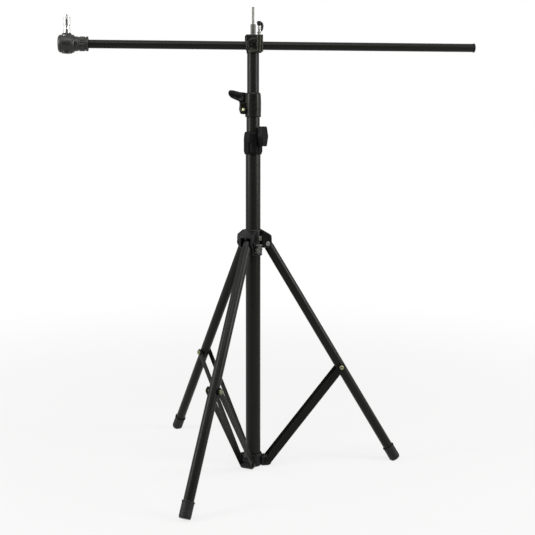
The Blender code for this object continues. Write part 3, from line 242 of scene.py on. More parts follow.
def mesh_of(name, parts):
    """One mesh of several shells, in metres, with seams and poles merged and faces turned outwards."""
    offset = np.cumsum([0, *(len(part[0]) for part in parts)])
    points = np.concatenate([part[0] for part in parts]) * MILLIMETRE
    faces = np.concatenate([part[1] + start for part, start in zip(parts, offset)])
    coordinates = np.concatenate([part[2] for part in parts]) * MILLIMETRE
    mesh = bpy.data.meshes.new(name)
    mesh.from_pydata(points, [], faces.tolist())
    mapped = mesh.uv_layers.new(name="surface")
    mapped.data.foreach_set("uv", coordinates.astype(np.float32).ravel())
    shape = bmesh.new()
    shape.from_mesh(mesh)
    bmesh.ops.remove_doubles(shape, verts=shape.verts, dist=MERGE_DISTANCE)
    bmesh.ops.recalc_face_normals(shape, faces=shape.faces)
    shape.to_mesh(mesh)
    shape.free()
    return mesh


def added(name, data):
    """An object in the scene that shows a mesh, a lamp or a camera."""
    made = bpy.data.objects.new(name, data)
    bpy.context.scene.collection.objects.link(made)
    return made


def piece(name, parts, body, finish, slot, *nodes, at=Matrix()):
    """Join shells, moved by a matrix, into one object that rides on a body and stands for nodes."""
    mesh = mesh_of(name, [moved(part, at) for part in parts])
    mesh.shade_smooth()
    mesh.set_sharp_from_angle(angle=SHARP_ANGLE)
    mesh.materials.append(finishes()[finish])
    made = added(name, mesh)
    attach(made, body)
    if nodes:
        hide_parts(*nodes)


def shift(x=0, y=0, z=0):
    """A matrix that moves by x, y and z."""
    return Matrix.Translation((x, y, z))


def turn(degrees, axis):
    """A matrix that turns by degrees about a main axis."""
    return Matrix.Rotation(math.radians(degrees), 4, axis)


ALONG_X = turn(90, "Y")
ALONG_Y = turn(-90, "X")
TOWARD_FRONT = turn(90, "X")
FACING_X = Matrix(((0, 0, 1, 0), (1, 0, 0, 0), (0, 1, 0, 0), (0, 0, 0, 1)))


def oblong(left, right, low, high, ease, steps):
    """A rectangle's outline with eased corners."""
    return eased([(left, low), (right, low), (right, high), (left, high)], ease, steps, True)


def drum(radius, low, high, ease):
    """A plain round drum along Z with eased edges."""
    return turned(eased([(0, low), (radius, low), (radius, high), (0, high)], ease), SMALL_SIDES)


def both_sides(part):
    """Two copies of a part made along Z, one towards the front and one towards the back."""
    return [moved(part, TOWARD_FRONT), moved(part, ALONG_Y)]


def hexagon(flats):
    """The wave that trims a turned surface to a hexagon: r becomes the lesser of r and h / cos b.

    h is half the width across flats, and b the angle from the middle of the nearest flat.
    """

    def wave(angle, radius, height):
        from_flat = (angle + math.pi / 6) % (math.pi / 3) - math.pi / 6
        limit = flats / 2 / np.cos(from_flat)
        return np.minimum(1.0, limit / np.maximum(radius, TINY))

    return wave


def fluted(count, share, low, high, fade=2):
    """The wave of round flutes: r(1 - share (1 - cos n a) / 2) between two heights, fading at both."""

    def wave(angle, radius, height):
        inside = np.clip((height - low) / fade, 0, 1) * np.clip((high - height) / fade, 0, 1)
        return 1 - share * inside * (1 - np.cos(count * angle)) / 2

    return wave


def threaded(pitch, depth, low, high):
    """The wave of a thread: r less depth times a saw-tooth of height / pitch - angle / turn."""

    def wave(angle, radius, height):
        phase = (height / pitch - angle / FULL_TURN) % 1.0
        tooth = np.abs(2 * phase - 1)
        inside = np.clip((height - low) / pitch, 0, 1) * np.clip((high - height) / pitch, 0, 1)
        return 1 - inside * (1 - tooth) * depth / np.maximum(radius, TINY)

    return wave


def measure(name, description, default, subtype="DISTANCE", unit="LENGTH", precision=4):
    """A size that a user may change, in metres unless its unit says otherwise."""
    return bpy.props.FloatProperty(
        name=name, description=description, default=default, subtype=subtype, unit=unit,
        precision=precision,
    )


def paint(name, description, code):
    """A colour that a user may change."""
    return bpy.props.FloatVectorProperty(
        name=name, description=description, default=linear(code), size=4, subtype="COLOR", min=0, max=1
    )


def whole_number(name, description, default):
    """A number of like features that a user may change."""
    return bpy.props.IntProperty(name=name, description=description, default=default, min=0)


ANGLE = ("ANGLE", "ROTATION")
NOISE_LOW = 0.35
NOISE_HIGH = 0.65
FLAT_EDGE = 0.53
POWER = ("POWER", "POWER")


class StandTubes(bpy.types.PropertyGroup):
    """Sizes and coat of the tubes."""

    base_radius: measure("Base tube radius", "Outer radius of the column's base tube", 0.0180)
    mid_radius: measure("Middle tube radius", "Outer radius of the middle section", 0.0162)
    upper_radius: measure("Upper tube radius", "Outer radius of the upper section", 0.0145)
    leg_radius: measure("Leg radius", "Outer radius of a leg tube", 0.0119)
    arm_radius: measure("Arm radius", "Outer radius of the boom arm", 0.0102)
    wall: measure("Wall", "Wall thickness that shows at a tube's end", 0.0012)
    coat: paint("Powder coat", "Colour of the satin coat on the tubes", "#141511")


class StandFittings(bpy.types.PropertyGroup):
    """Sizes and colours of the clamps, the head and the feet."""

    collar_flutes: whole_number("Collar flutes", "Grip flutes round the lower collar", 14)
    knob_flutes: whole_number("Knob flutes", "Grip flutes round the spider's lock knob", 7)
    neck_ribs: whole_number("Neck ribs", "Grip ribs round the arm's neck", 18)
    stud_pitch: measure("Stud pitch", "Pitch of the thread on the top stud", 0.00127, precision=5)
    moulding: paint("Moulding", "Colour of the black nylon mouldings", "#0a0a0a")
    casting: paint("Casting", "Colour of the enamelled castings", "#141510")
    arm_head: paint("Arm head", "Colour of the glass-filled nylon arm head", "#1b1c17")
    knob: paint("Spider knob", "Colour of the grey knob on the spider", "#3c3d37")
    rubber: paint("Rubber", "Colour of the feet", "#0b0b0b")


class StandStage(bpy.types.PropertyGroup):
    """Camera, lamps and floor."""

    distance: measure("Camera distance", "Distance of the camera from the column", 2.225)
    height: measure("Camera height", "Height of the camera above the floor", 0.8122)
    yaw: measure("Camera yaw", "Turn of the view about the column", math.radians(6.16), *ANGLE)
    pitch: measure("Camera pitch", "Downward tilt of the view", math.radians(2.5), *ANGLE)
    lens: bpy.props.FloatProperty(
        name="Lens", description="Focal length on a 36 mm sensor, in millimetres", default=61.57, min=10
    )
    side_power: measure("Side lamps", "Power of each tall side lamp, in watts", 46.0, *POWER)
    top_power: measure("Top lamp", "Power of the overhead lamp, in watts", 34.0, *POWER)
    ambient: bpy.props.FloatProperty(
        name="Ambient", description="Strength of the world as a lamp", default=0.34, min=0, max=1
    )
    dim_wall: bpy.props.FloatProperty(
        name="Dim wall", description="How bright metal sees the room in front of it and behind it",
        default=0.15, min=0, max=1,
    )
    floor: paint("Floor", "Colour of the studio floor", "#c8c8c6")


def node(tree, kind, settings=None, **links):
    """Add a shader node, set its properties, and fill its inputs with values, sockets or nodes.

    An input is named by its label with underscores for spaces, or by in_ and its number.
    """
    made = tree.nodes.new("ShaderNode" + kind)
    for key, value in (settings or {}).items():
        setattr(made, key, value)
    for key, value in links.items():
        at = int(key[3:]) if key.startswith("in_") else key.replace("_", " ")
        if isinstance(value, bpy.types.Node):
            tree.links.new(value.outputs[0], made.inputs[at])
        elif isinstance(value, bpy.types.NodeSocket):
            tree.links.new(value, made.inputs[at])
        else:
            made.inputs[at].default_value = value
    return made


def new_material(name):
    """An empty material's node tree, and the place on the object that its patterns read."""
    made = bpy.data.materials.new(name)
    made.use_nodes = True
    tree = made.node_tree
    tree.nodes.clear()
    return tree, node(tree, "TexCoord").outputs["Object"]


def stretched(tree, scale):
    """The piece's own surface map, in metres, scaled along and across."""
    along = node(tree, "UVMap", {"uv_map": "surface"})
    return node(tree, "Mapping", Vector=along, Scale=scale)


def lumps(tree, where, millimetres, detail, low, high):
    """Soft lumps of a width in millimetres, and the same lumps carried over to a range.

    Nearly all of the noise lies in one band, and that band becomes the range.
    """
    plain = node(
        tree, "TexNoise", Vector=where, Scale=1000.0 / millimetres, Detail=detail, Roughness=0.5
    )
    ranged = node(
        tree, "MapRange", Value=plain, From_Min=NOISE_LOW, From_Max=NOISE_HIGH, To_Min=low, To_Max=high
    )
    return plain, ranged


def shade(colour, factor):
    """A linear colour made lighter or darker by a factor."""
    return (colour[0] * factor, colour[1] * factor, colour[2] * factor, 1.0)


def skin(tree, tint, colours, rough, relief, bump, edge_wear_and_highlight=None, **shader):
    """Finish a material: the first colour towards the second by the tint, dented by the relief.

    Edge wear and highlight is how convex an edge must be to show the most of the third colour, and how
    much that is; that lighter colour on convex edges is partly wear and partly a painted highlight.
    """
    mix = {"data_type": "RGBA"}
    mixed = node(tree, "Mix", mix, in_0=tint, in_6=colours[0], in_7=colours[1]).outputs[2]
    # convex edges take the lighter third colour: partly wear, partly a painted highlight on edges that
    # catch the light
    if edge_wear_and_highlight:
        edge = node(tree, "NewGeometry").outputs["Pointiness"]
        worn_and_lit_edges = node(
            tree, "MapRange", Value=edge, From_Min=FLAT_EDGE, From_Max=edge_wear_and_highlight[0], To_Min=0.0,
            To_Max=edge_wear_and_highlight[1],
        )
        mixed = node(tree, "Mix", mix, in_0=worn_and_lit_edges, in_6=mixed, in_7=colours[2]).outputs[2]
    strength, depth = bump
    dented = node(tree, "Bump", Strength=strength, Distance=depth, Height=relief)
    made = node(
        tree, "BsdfPrincipled", Base_Color=mixed, Roughness=rough, Normal=dented, **shader
    )
    node(tree, "OutputMaterial", Surface=made)


def powder_coated(name, coat, shine):
    """Drawn tube or strip under a satin polyester powder coat.

    The coat flows into a fine orange peel, about 1.5 mm from lump to lump, and the draw marks
    under it leave faint streaks along the tube, so long highlights break up slightly.
    """
    tree, place = new_material(name)
    peel, satin = lumps(tree, place, 1.5, 4.0, 0.31, 0.38)
    streak = lumps(tree, stretched(tree, (1.0, 0.012, 1.0)), 1.2, 2.0, 0.0, 1.0)[1]
    cloud = lumps(tree, place, 60.0, 4.0, -0.02, 0.03)[1]
    rough = node(tree, "Math", {"operation": "ADD"}, in_0=satin, in_1=cloud)
    colours = (shade(coat, 0.80), shade(coat, 1.25))
    skin(tree, streak, colours, rough, peel, (0.05, 0.0001), IOR=1.5, Specular_IOR_Level=shine)


def moulded_nylon(name, colour, gloss, grit, shine):
    """Injection-moulded nylon with a spark-eroded surface.

    The mould's 0.6 mm grain scatters the light, the melt leaves 14 mm clouds where it flowed, and
    convex edges are painted up to three times lighter: partly handled polish, partly a painted
    highlight.
    """
    tree, place = new_material(name)
    grain, rough = lumps(tree, place, 0.6, 2.0, gloss, gloss + 0.08)
    flow = lumps(tree, place, 14.0, 3.0, 0.0, 1.0)[1]
    # the third colour, three times lighter, goes on convex edges: partly wear, partly a painted
    # highlight
    colours = (shade(colour, 0.80), shade(colour, 1.25), shade(colour, 3.0))
    skin(tree, flow, colours, rough, grain, (grit, 0.0001), (0.62, 0.5), IOR=1.53,
         Specular_IOR_Level=shine)


def enamelled_casting(name, colour, shine):
    """Zinc die casting under a thin stoved enamel.

    The cast skin's pebble is about 1.2 mm from lump to lump, the enamel pools darker in 18 mm patches,
    and the convex edges are painted the lighter olive of the primer: partly enamel rubbed thin, partly
    a painted highlight along edges and rims that catch the light.
    """
    tree, place = new_material(name)
    pebble, rough = lumps(tree, place, 1.2, 2.0, 0.22, 0.34)
    patch = lumps(tree, place, 18.0, 3.0, 0.0, 1.0)[1]
    # the third colour, olive primer, goes on convex edges: partly worn enamel, partly a painted
    # highlight
    colours = (shade(colour, 0.6), shade(colour, 1.5), linear("#6a6b5c"))
    skin(tree, patch, colours, rough, pebble, (0.12, 0.0002), (0.64, 0.7), IOR=1.52,
         Specular_IOR_Level=shine)


def moulded_rubber(name, colour):
    """Vulcanised rubber: matt, finely grained, greyer with dust towards the sole."""
    tree, place = new_material(name)
    grain, rough = lumps(tree, place, 0.8, 3.0, 0.48, 0.62)
    low = node(tree, "SeparateXYZ", Vector=place).outputs["Z"]
    sole = node(
        tree, "MapRange", Value=low, From_Min=0.0, From_Max=0.012, To_Min=0.45, To_Max=0.0
    )
    specks = lumps(tree, place, 0.8, 3.0, 0.2, 1.0)[1]
    dust = node(tree, "Math", {"operation": "MULTIPLY"}, in_0=sole, in_1=specks)
    skin(tree, dust, (colour, linear("#2e2d2b")), rough, grain, (0.15, 0.0002), IOR=1.52,
         Specular_IOR_Level=0.25)


def plated_steel(name, light, dark, rough_low, rough_high, speckle):
    """Turned and plated steel: fine rings left by the lathe, and a patchy plating colour."""
    tree, place = new_material(name)
    rings, rough = lumps(tree, stretched(tree, (0.02, 1.0, 1.0)), 0.5, 2.0, rough_low, rough_high)
    patch = lumps(tree, place, speckle, 3.0, 0.0, 1.0)[1]
    skin(tree, patch, (linear(light), linear(dark)), rough, rings, (0.10, 0.0001), Metallic=1.0)


PLATINGS = {
    "chromed_steel": ("#dcdcd8", "#c4c4c0", 0.08, 0.16, 4.0),
    "bright_zinc_steel": ("#b4b4ae", "#94948e", 0.36, 0.46, 3.0),
    "nickel_plated_steel": ("#a9aaa6", "#8a8b86", 0.20, 0.30, 5.0),
    "satin_zinc_steel": ("#62625d", "#4e4e4a", 0.46, 0.58, 4.0),
    "yellow_zinc_steel": ("#a3a17c", "#5d614a", 0.24, 0.36, 2.5),
    "olive_zinc_steel": ("#5a5c44", "#3c3e2c", 0.30, 0.42, 2.5),
    # pale zinc on the clamp bolt's tip: a painted highlight against its olive stud and nut
    "pale_highlight_zinc_steel": ("#e0dec0", "#c8c6a4", 0.44, 0.54, 2.5),
    "black_oxide_steel": ("#2b2b2a", "#141413", 0.22, 0.34, 3.0),
}


def finishes():
    """The stand's materials, made once and found by name after that."""
    scene = bpy.context.scene
    coat = scene.stand_tubes.coat
    fittings = scene.stand_fittings
    if not bpy.data.materials.get("powder_coated_aluminium"):
        powder_coated("powder_coated_aluminium", coat, 0.14)
        powder_coated("powder_coated_steel", shade(coat, 0.85), 0.11)
        moulded_nylon("moulded_nylon", fittings.moulding, 0.30, 0.10, 0.19)
        moulded_nylon("spark_eroded_nylon", fittings.moulding, 0.46, 0.20, 0.07)
        moulded_nylon("glass_filled_nylon", fittings.arm_head, 0.36, 0.06, 0.34)
        moulded_nylon("grey_nylon", fittings.knob, 0.32, 0.06, 0.55)
        enamelled_casting("enamelled_casting", fittings.casting, 0.26)
        enamelled_casting("matt_enamelled_casting", fittings.casting, 0.12)
        moulded_rubber("moulded_rubber", fittings.rubber)
        for name, look in PLATINGS.items():
            plated_steel(name, *look)
    return bpy.data.materials


def leg_place(side):
    """The matrix that lays local Z along a leg, with the leg's pivot at the origin."""
    azimuth = LEG_AZIMUTHS[side]
    pivot = Vector((LEG_PIVOT_RADIUS, 0, LEG_PIVOT_HEIGHT))
    spun = turn(azimuth, "Z") @ Matrix.Translation(pivot)
    return spun @ Matrix.Rotation(-LEG_SPREAD, 4, "Y")


def brace_place(side):
    """The matrix that lays local Z along a brace, from the hub's pivot, and the brace's length."""
    top = Vector((LEG_PIVOT_RADIUS + BRACE_DROP * math.sin(LEG_SPREAD), 0, 0))
    top.z = LEG_PIVOT_HEIGHT - BRACE_DROP * math.cos(LEG_SPREAD)
    low = Vector((HUB_PIVOT[0], 0, HUB_PIVOT[1]))
    run = top - low
    lean = math.atan2(run.x, run.z)
    spun = turn(LEG_AZIMUTHS[side], "Z") @ Matrix.Translation(low)
    return spun @ Matrix.Rotation(lean, 4, "Y"), run.length


def tube_shell(radius, wall, low, high, sides=TURN_SIDES):
    """A tube along Z: a looped profile of outer side, rounded rim and inner side.

    Radius and wall come from the panel, in metres.
    """
    outer = radius / MILLIMETRE
    inner = (radius - wall) / MILLIMETRE
    profile = [(outer, low), (outer, high), (inner, high), (inner, low)]
    return turned(eased(profile, 0.4, closed=True), sides, loop=True)


class STAND_OT_column(bpy.types.Operator):
    """Make the three telescoping column tubes"""

    bl_idname = "stand.column"
    bl_label = "Column tubes"

    def execute(self, context):
        sizes = context.scene.stand_tubes
        for tube, body, radius, name in (
            ("base_tube", "base", sizes.base_radius, "column_base"),
            ("mid_tube", "mid_section", sizes.mid_radius, "column_middle"),
            ("upper_tube", "upper_section", sizes.upper_radius, "column_upper"),
        ):
            low, high = box_of(tube)
            section = tube_shell(radius, sizes.wall, low.z, high.z)
            piece(name, [section], body, "powder_coated_aluminium", "tube_coat", tube)
        return {"FINISHED"}


class STAND_OT_legs(bpy.types.Operator):
    """Make the three leg tubes with their top eyes and rubber feet"""

    bl_idname = "stand.legs"
    bl_label = "Legs"

    def execute(self, context):
        sizes = context.scene.stand_tubes
        for side in LEG_AZIMUTHS:
            place = leg_place(side)
            leg = "leg_" + side
            tube = tube_shell(sizes.leg_radius, sizes.wall, 6.3 - LEG_LENGTH, -9, 72)
            piece(leg, [tube], leg, "powder_coated_aluminium", "tube_coat", "leg_tube_" + side,
                  at=place)
            piece("leg_eye_" + side, [leg_eye()], leg, "moulded_nylon", "black_plastic",
                  "leg_lug_" + side, at=place)
            foot = standing(moved(foot_shell(sizes.leg_radius), place))
            piece("rubber_foot_" + side, [foot], leg, "moulded_rubber", "foot_rubber", "foot_" + side)
        return {"FINISHED"}


def leg_eye():
    """The ball on a leg's top, r = R cos t and h = R sin t, on the plug inside the tube."""
    t = np.linspace(math.pi / 2, 0, 16)
    ball = np.stack([11.3 * np.cos(t), 11.3 * np.sin(t)], 1)
    stem = [(11.3, -8.7), (10.4, -8.7), (10.4, -33), (0, -33)]
    return turned(np.vstack([ball, stem]), 72)


def foot_shell(leg_radius):
    """A rubber cap: a looped profile with a rolled ring at its mouth, three grip lines and a step."""
    bore = leg_radius / MILLIMETRE + 0.3
    skin = bore + 1.4
    profile = [
        (0, 0), (skin - 0.8, 0), (skin - 0.8, 3), (skin, 3), (skin, 9), (skin - 0.5, 9.6),
        (skin, 10.2), (skin, 15), (skin - 0.5, 15.6), (skin, 16.2), (skin, 32.2), (skin + 0.9, 33),
        (skin + 0.9, 36), (bore, 36), (bore, 6), (0, 6),
    ]
    line = eased(profile, 0.8, 5)
    sole = np.stack([np.linspace(0, line[1, 0], 14)[1:-1], np.zeros(12)], 1)
    return moved(turned(np.vstack([line[:1], sole, line[1:]]), 72), shift(z=-LEG_LENGTH))


def standing(part):
    """A shell pressed flat on the floor: no point below height 0."""
    points, faces, coordinates = part
    flat = points.copy()
    flat[:, 2] = np.maximum(flat[:, 2], 0)
    return flat, faces, coordinates


class STAND_OT_braces(bpy.types.Operator):
    """Make the paired brace bars and the bolts that join them to the legs"""

    bl_idname = "stand.braces"
    bl_label = "Braces"

    def execute(self, context):
        for side in LEG_AZIMUTHS:
            place, length = brace_place(side)
            body = "brace_" + side
            for which, offset in (("near", -BRACE_MIDDLE), ("far", BRACE_MIDDLE)):
                name = side + "_" + which
                piece("bar_" + name, [brace_bar(length, offset)], body, "powder_coated_steel",
                      "black_paint", "brace_" + name, at=place)
            top = place @ shift(z=length)
            head = domed_head(BRACE_BOLT_FACE)
            piece("joint_bolt_" + side, [head], body, "yellow_zinc_steel", "zinc_steel",
                  "brace_bolt_" + side, at=top @ TOWARD_FRONT)
            nut = [hex_nut(BRACE_BOLT_FACE, 3.6, 11.3), stud_end(3, 12.4, 20.8)]
            piece("joint_nut_" + side, nut, body, "yellow_zinc_steel", "zinc_steel",
                  "brace_nut_" + side, at=top @ ALONG_Y)
        return {"FINISHED"}


def brace_bar(length, offset):
    """A flat bar with round ends along Z, its edges eased."""
    ends = [arc((0, 0), 8.75, 180, 360, 25), arc((0, length), 8.75, 0, 180, 25)]
    return moved(plate(np.vstack(ends), offset - 0.75, offset + 0.75, 0.4), TOWARD_FRONT)


def domed_head(face, radius=5.6, height=3.6):
    """A rivet head along Z: a low dome r = R cos t, h = H sin t on a short rim."""
    t = np.linspace(0, math.pi / 2, 12)
    rim = face + height * 0.35
    dome = np.stack([radius * np.cos(t), rim + height * 0.65 * np.sin(t)], 1)
    shank = [(0, face - 2), (3, face - 2), (3, face), (radius, face)]
    return turned(np.vstack([shank, dome]), SMALL_SIDES)


def ring_head(face):
    """A tubular rivet's end along Z: a rolled ring round a hole, both of circular section."""
    line = [
        (0, -2), (3, -2), (3, 0), (5.6, 0), (5.6, 2.16), (4.816, 3.6), (3.248, 3.6), (2.52, 2.52),
        (2.352, 0.72), (0, 0.72),
    ]
    return moved(turned(eased(line, 0.9, 5), SMALL_SIDES), shift(z=face))


def hex_nut(low, thickness, across):
    """A hexagon nut along Z: a turned disc with chamfered corners, trimmed to six flats."""
    corner = across / math.sqrt(3)
    high = low + thickness
    drop = corner * 0.13
    line = [
        (0, low), (corner * 0.86, low), (corner, low + drop), (corner, high - drop),
        (corner * 0.86, high), (corner * 0.56, high), (corner * 0.50, high - 0.4), (0, high - 0.4),
    ]
    return turned(eased(line, 0.2, 3), 96, hexagon(across))


def stud_end(radius, low, high, pitch=1):
    """A threaded stud's end along Z, chamfered at its tip, with eight rows to a turn of the thread."""
    rows = int((high - low) / pitch * 8)
    side = np.linspace((radius, low), (radius, high - 0.6), rows)
    line = np.vstack([[(0, low)], side, [(radius - 0.6, high), (0, high)]])
    return turned(line, SMALL_SIDES, threaded(pitch, pitch * 0.5, low, high))


class STAND_OT_hub(bpy.types.Operator):
    """Make the bottom hub and the bolts that carry the braces"""

    bl_idname = "stand.hub"
    bl_label = "Bottom hub"

    def execute(self, context):
        low, high = box_of("bottom_hub")
        outer = 22
        floor = low.z + 2.7
        cup = [
            (0, low.z), (outer - 3, low.z), (outer, low.z + 3), (outer, high.z - 5),
            (outer - 1, high.z), (BASE_TUBE_BORE, high.z), (BASE_TUBE_BORE, floor), (0, floor),
        ]
        parts = [turned(eased(cup, 1.2, 5))]
        across, up = HUB_PIVOT
        round_end = arc(HUB_PIVOT, 10.5, -90, 90, 25)
        lug = plate(np.vstack([[(19.5, up - 10.5)], round_end, [(19.5, up + 10.5)]]), -13.8, 13.8, 1)
        web = plate(eased([(20.5, 15), (29, 20.5), (20.5, 30)], 1, 4, True), -2, 2, 0.6)
        for azimuth in LEG_AZIMUTHS.values():
            parts += [moved(part, turn(azimuth, "Z") @ TOWARD_FRONT) for part in (lug, web)]
        piece("hub_moulding", parts, "base", "moulded_nylon", "black_plastic", "bottom_hub")
        heads = both_sides(domed_head(BRACE_BOLT_FACE))
        for side, azimuth in LEG_AZIMUTHS.items():
            piece("hub_rivet_" + side, heads, "base", "black_oxide_steel", "zinc_steel",
                  "hub_bolt_" + side, at=turn(azimuth, "Z") @ shift(across, 0, up))
        return {"FINISHED"}


class STAND_OT_spider(bpy.types.Operator):
    """Make the spider that carries the legs, its rivets and its lock knob"""

    bl_idname = "stand.spider"
    bl_label = "Spider"

    def execute(self, context):
        lift = shift(z=LEG_PIVOT_HEIGHT)
        sleeve = [(BASE_TUBE_BORE, -30), (22, -30), (22, 31), (20, 34), (BASE_TUBE_BORE, 34)]
        parts = [moved(turned(eased(sleeve, 1, 4, True), loop=True), lift)]
        for azimuth in LEG_AZIMUTHS.values():
            parts += [moved(part, lift @ turn(azimuth, "Z")) for part in leg_housing()]
        screw = middle("spider_lock_screw")
        azimuth = math.degrees(math.atan2(screw.y, screw.x))
        knob_place = shift(z=screw.z) @ turn(azimuth, "Z") @ ALONG_X
        boss = [(0, 19), (6.5, 19), (6.5, 24.2), (3.2, 24.2), (0, 24.2)]
        parts.append(moved(turned(eased(boss, 0.6), SMALL_SIDES), knob_place))
        # The ledge and block are grey nylon, lighter than the black moulding they stand on: a painted
        # highlight on their lit top faces.
        ledge = plate(oblong(19, 26.8, -10, 11, 1.5, 4), -5.8, -1.8, 1)
        block = plate(oblong(19, 25.6, -8.8, 8.8, 1.5, 4), 7, 18.5, 1)
        steps = [moved(ledge, turn(-66, "Z")), moved(block, turn(-44, "Z"))]
        piece("spider_lit_steps", steps, "spider", "grey_nylon", "grey_plastic", at=lift)
        piece("spider_moulding", parts, "spider", "moulded_nylon", "black_plastic", "spider_collar")
        ends = both_sides(ring_head(LEG_BOLT_FACE))
        for side, azimuth in LEG_AZIMUTHS.items():
            # The right leg's rivets are bright nickel and the other legs' black oxide: a painted
            # highlight on the rivets that face the lamps, and painted shade on the rest.
            painted_light_plating = "nickel_plated_steel" if side == "right" else "black_oxide_steel"
            piece("leg_rivet_" + side, ends, "spider", painted_light_plating, "zinc_steel",
                  "leg_pivot_bolt_" + side, at=lift @ turn(azimuth, "Z") @ shift(LEG_PIVOT_RADIUS))
        knob = [
            (0, 25), (4.5, 25), (4.5, 26.5), (10.4, 30.5), (10.8, 35), (8.6, 38.5), (5.2, 38.8),
            (4.5, 37.9), (0, 37.9),
        ]
        grip = fluted(context.scene.stand_fittings.knob_flutes, 0.24, 28, 40)
        oval = shift(z=1.4) @ knob_place @ Matrix.Diagonal((1.12, 0.90, 1, 1))
        piece("spider_knob", [turned(eased(knob, 1.2, 6), 140, grip)], "spider_lock", "grey_nylon",
              "grey_plastic", "spider_lock_knob", at=oval)
        return {"FINISHED"}


def leg_housing():
    """One leg's housing: two thick cheeks round the pivot and the sloping roof between them."""
    roof_edge = 19.5
    inside = 20.1
    tip = 43.8
    roof_top = 33.2
    cheek = np.vstack([
        [(inside, -10.5)], arc((LEG_PIVOT_RADIUS, 0), 10.5, -90, -10, 18),
        [(tip, roof_edge - 5), (tip - 2, roof_edge), (inside, roof_top - 0.4)],
    ])
    outline = eased(cheek, 2.1, 6, True)
    parts = [plate(outline, low, low + 5.2, 1.3, centre=(31, 4)) for low in (-17.4, 12.2)]
    roof = [(inside, roof_top), (tip, roof_edge), (tip, roof_edge - 5.5), (inside, roof_top - 5.5)]
    parts.append(plate(eased(roof, 2.4, 6, True), -16.8, 16.8, 1.4))
    return [moved(part, TOWARD_FRONT) for part in parts]


class STAND_OT_lower_lock(bpy.types.Operator):
    """Make the lower collar and its tall faceted knob"""

    bl_idname = "stand.lower_lock"
    bl_label = "Lower lock"

    def execute(self, context):
        low, high = box_of("lower_collar")
        rise = shift(z=low.z)
        top = high.z - low.z
        line = np.vstack([
            [(BASE_TUBE_BORE, 0), (20.3, 0)], np.linspace((22.8, 7.5), (22.8, top - 17), 40),
            [(21.6, top - 6), (19.8, top), (16.5, top), (16.5, 25.3), (BASE_TUBE_BORE, 25.3)],
        ])
        wave = fluted(context.scene.stand_fittings.collar_flutes, 0.085, 4.5, 30, 4)
        collar = turned(eased(line, 1.4, 4, True), 168, wave, loop=True)
        station = shift(z=top - 11.2) @ turn(-46.5, "Z")
        parts = [collar, moved(drum(8.5, 18, 23.3, 0.8), station @ ALONG_X)]
        piece("lower_collar_moulding", parts, "base", "spark_eroded_nylon", "black_plastic",
              "lower_collar", at=rise)
        outline = [(-7, -24), (7, -24), (12.5, 0), (7, 24), (-7, 24), (-12.5, 0)]
        knob = plate(eased(outline, 3, 6, True), 24.1, 38.1, 1.2, 1, 0.5)
        piece("lower_knob", [knob], "lower_lock", "spark_eroded_nylon", "black_plastic",
              "lower_lock_knob", at=rise @ station @ FACING_X)
        return {"FINISHED"}


class STAND_OT_upper_lock(bpy.types.Operator):
    """Make the upper split collar, its clamp bolt and its wing lever"""

    bl_idname = "stand.upper_lock"
    bl_label = "Upper lock"

    def execute(self, context):
        low, high = box_of("upper_collar")
        rise = shift(z=low.z)
        top = high.z - low.z
        half_slit = 1.6
        slit_start = 4
        slit_floor = 15.1
        skin_start = 17
        sleeve = [
            (16.5, 0), (18.6, 0), (19.2, 1.2), (19.3, 4.5), (19, 5.2), (19.4, 20), (19.5, 34),
            (19, top - 10), (18.4, top - 3), (17, top), (14.8, top), (14.8, 11.3), (16.5, 11.3),
        ]

        def slit(angle, radius, height):
            """The radius drops to the slit's floor behind the collar's skin, over the slit's width."""
            across = np.abs(radius * np.sin(angle))
            inside = (across < half_slit) & (np.cos(angle) < 0) & (height > slit_start)
            return np.where(inside & (radius > skin_start), slit_floor / np.maximum(radius, TINY), 1.0)

        parts = [turned(eased(sleeve, 0.7, 4, True), 240, slit, loop=True)]
        arcs = [arc((-25.8, 29), 6, 90, 180, 9), arc((-25.8, 13), 6, 180, 270, 9)]
        ear = eased(np.vstack([[(-16, 7), (-16, 35)], *arcs]), 0.4, 3, True)
        for near in (-8.5, 1.5):
            parts.append(moved(plate(ear, near, near + 7, 0.9), TOWARD_FRONT))
        piece("upper_collar_casting", parts, "mid_section", "matt_enamelled_casting", "cast_coat",
              "upper_collar", at=rise)
        pivot = rise @ shift(-25.5, 0, 17.5)
        front = pivot @ TOWARD_FRONT
        bolt = [hex_nut(8.8, 3.6, 11.3), stud_end(3, -24, 10)]
        piece("clamp_bolt_steel", bolt, "mid_section", "olive_zinc_steel", "zinc_steel", "clamp_bolt",
              at=front)
        # The bolt's domed tip is pale zinc, lighter than the olive stud and nut of the same bolt: a
        # painted highlight.
        piece("clamp_bolt_tip", [domed_head(11.8, 3.1, 2.2)], "mid_section", "pale_highlight_zinc_steel",
              "zinc_steel", at=front)
        piece("wing_handle", wing_handle(), "wing", "moulded_nylon", "black_plastic", "wing_lever",
              at=pivot)
        return {"FINISHED"}


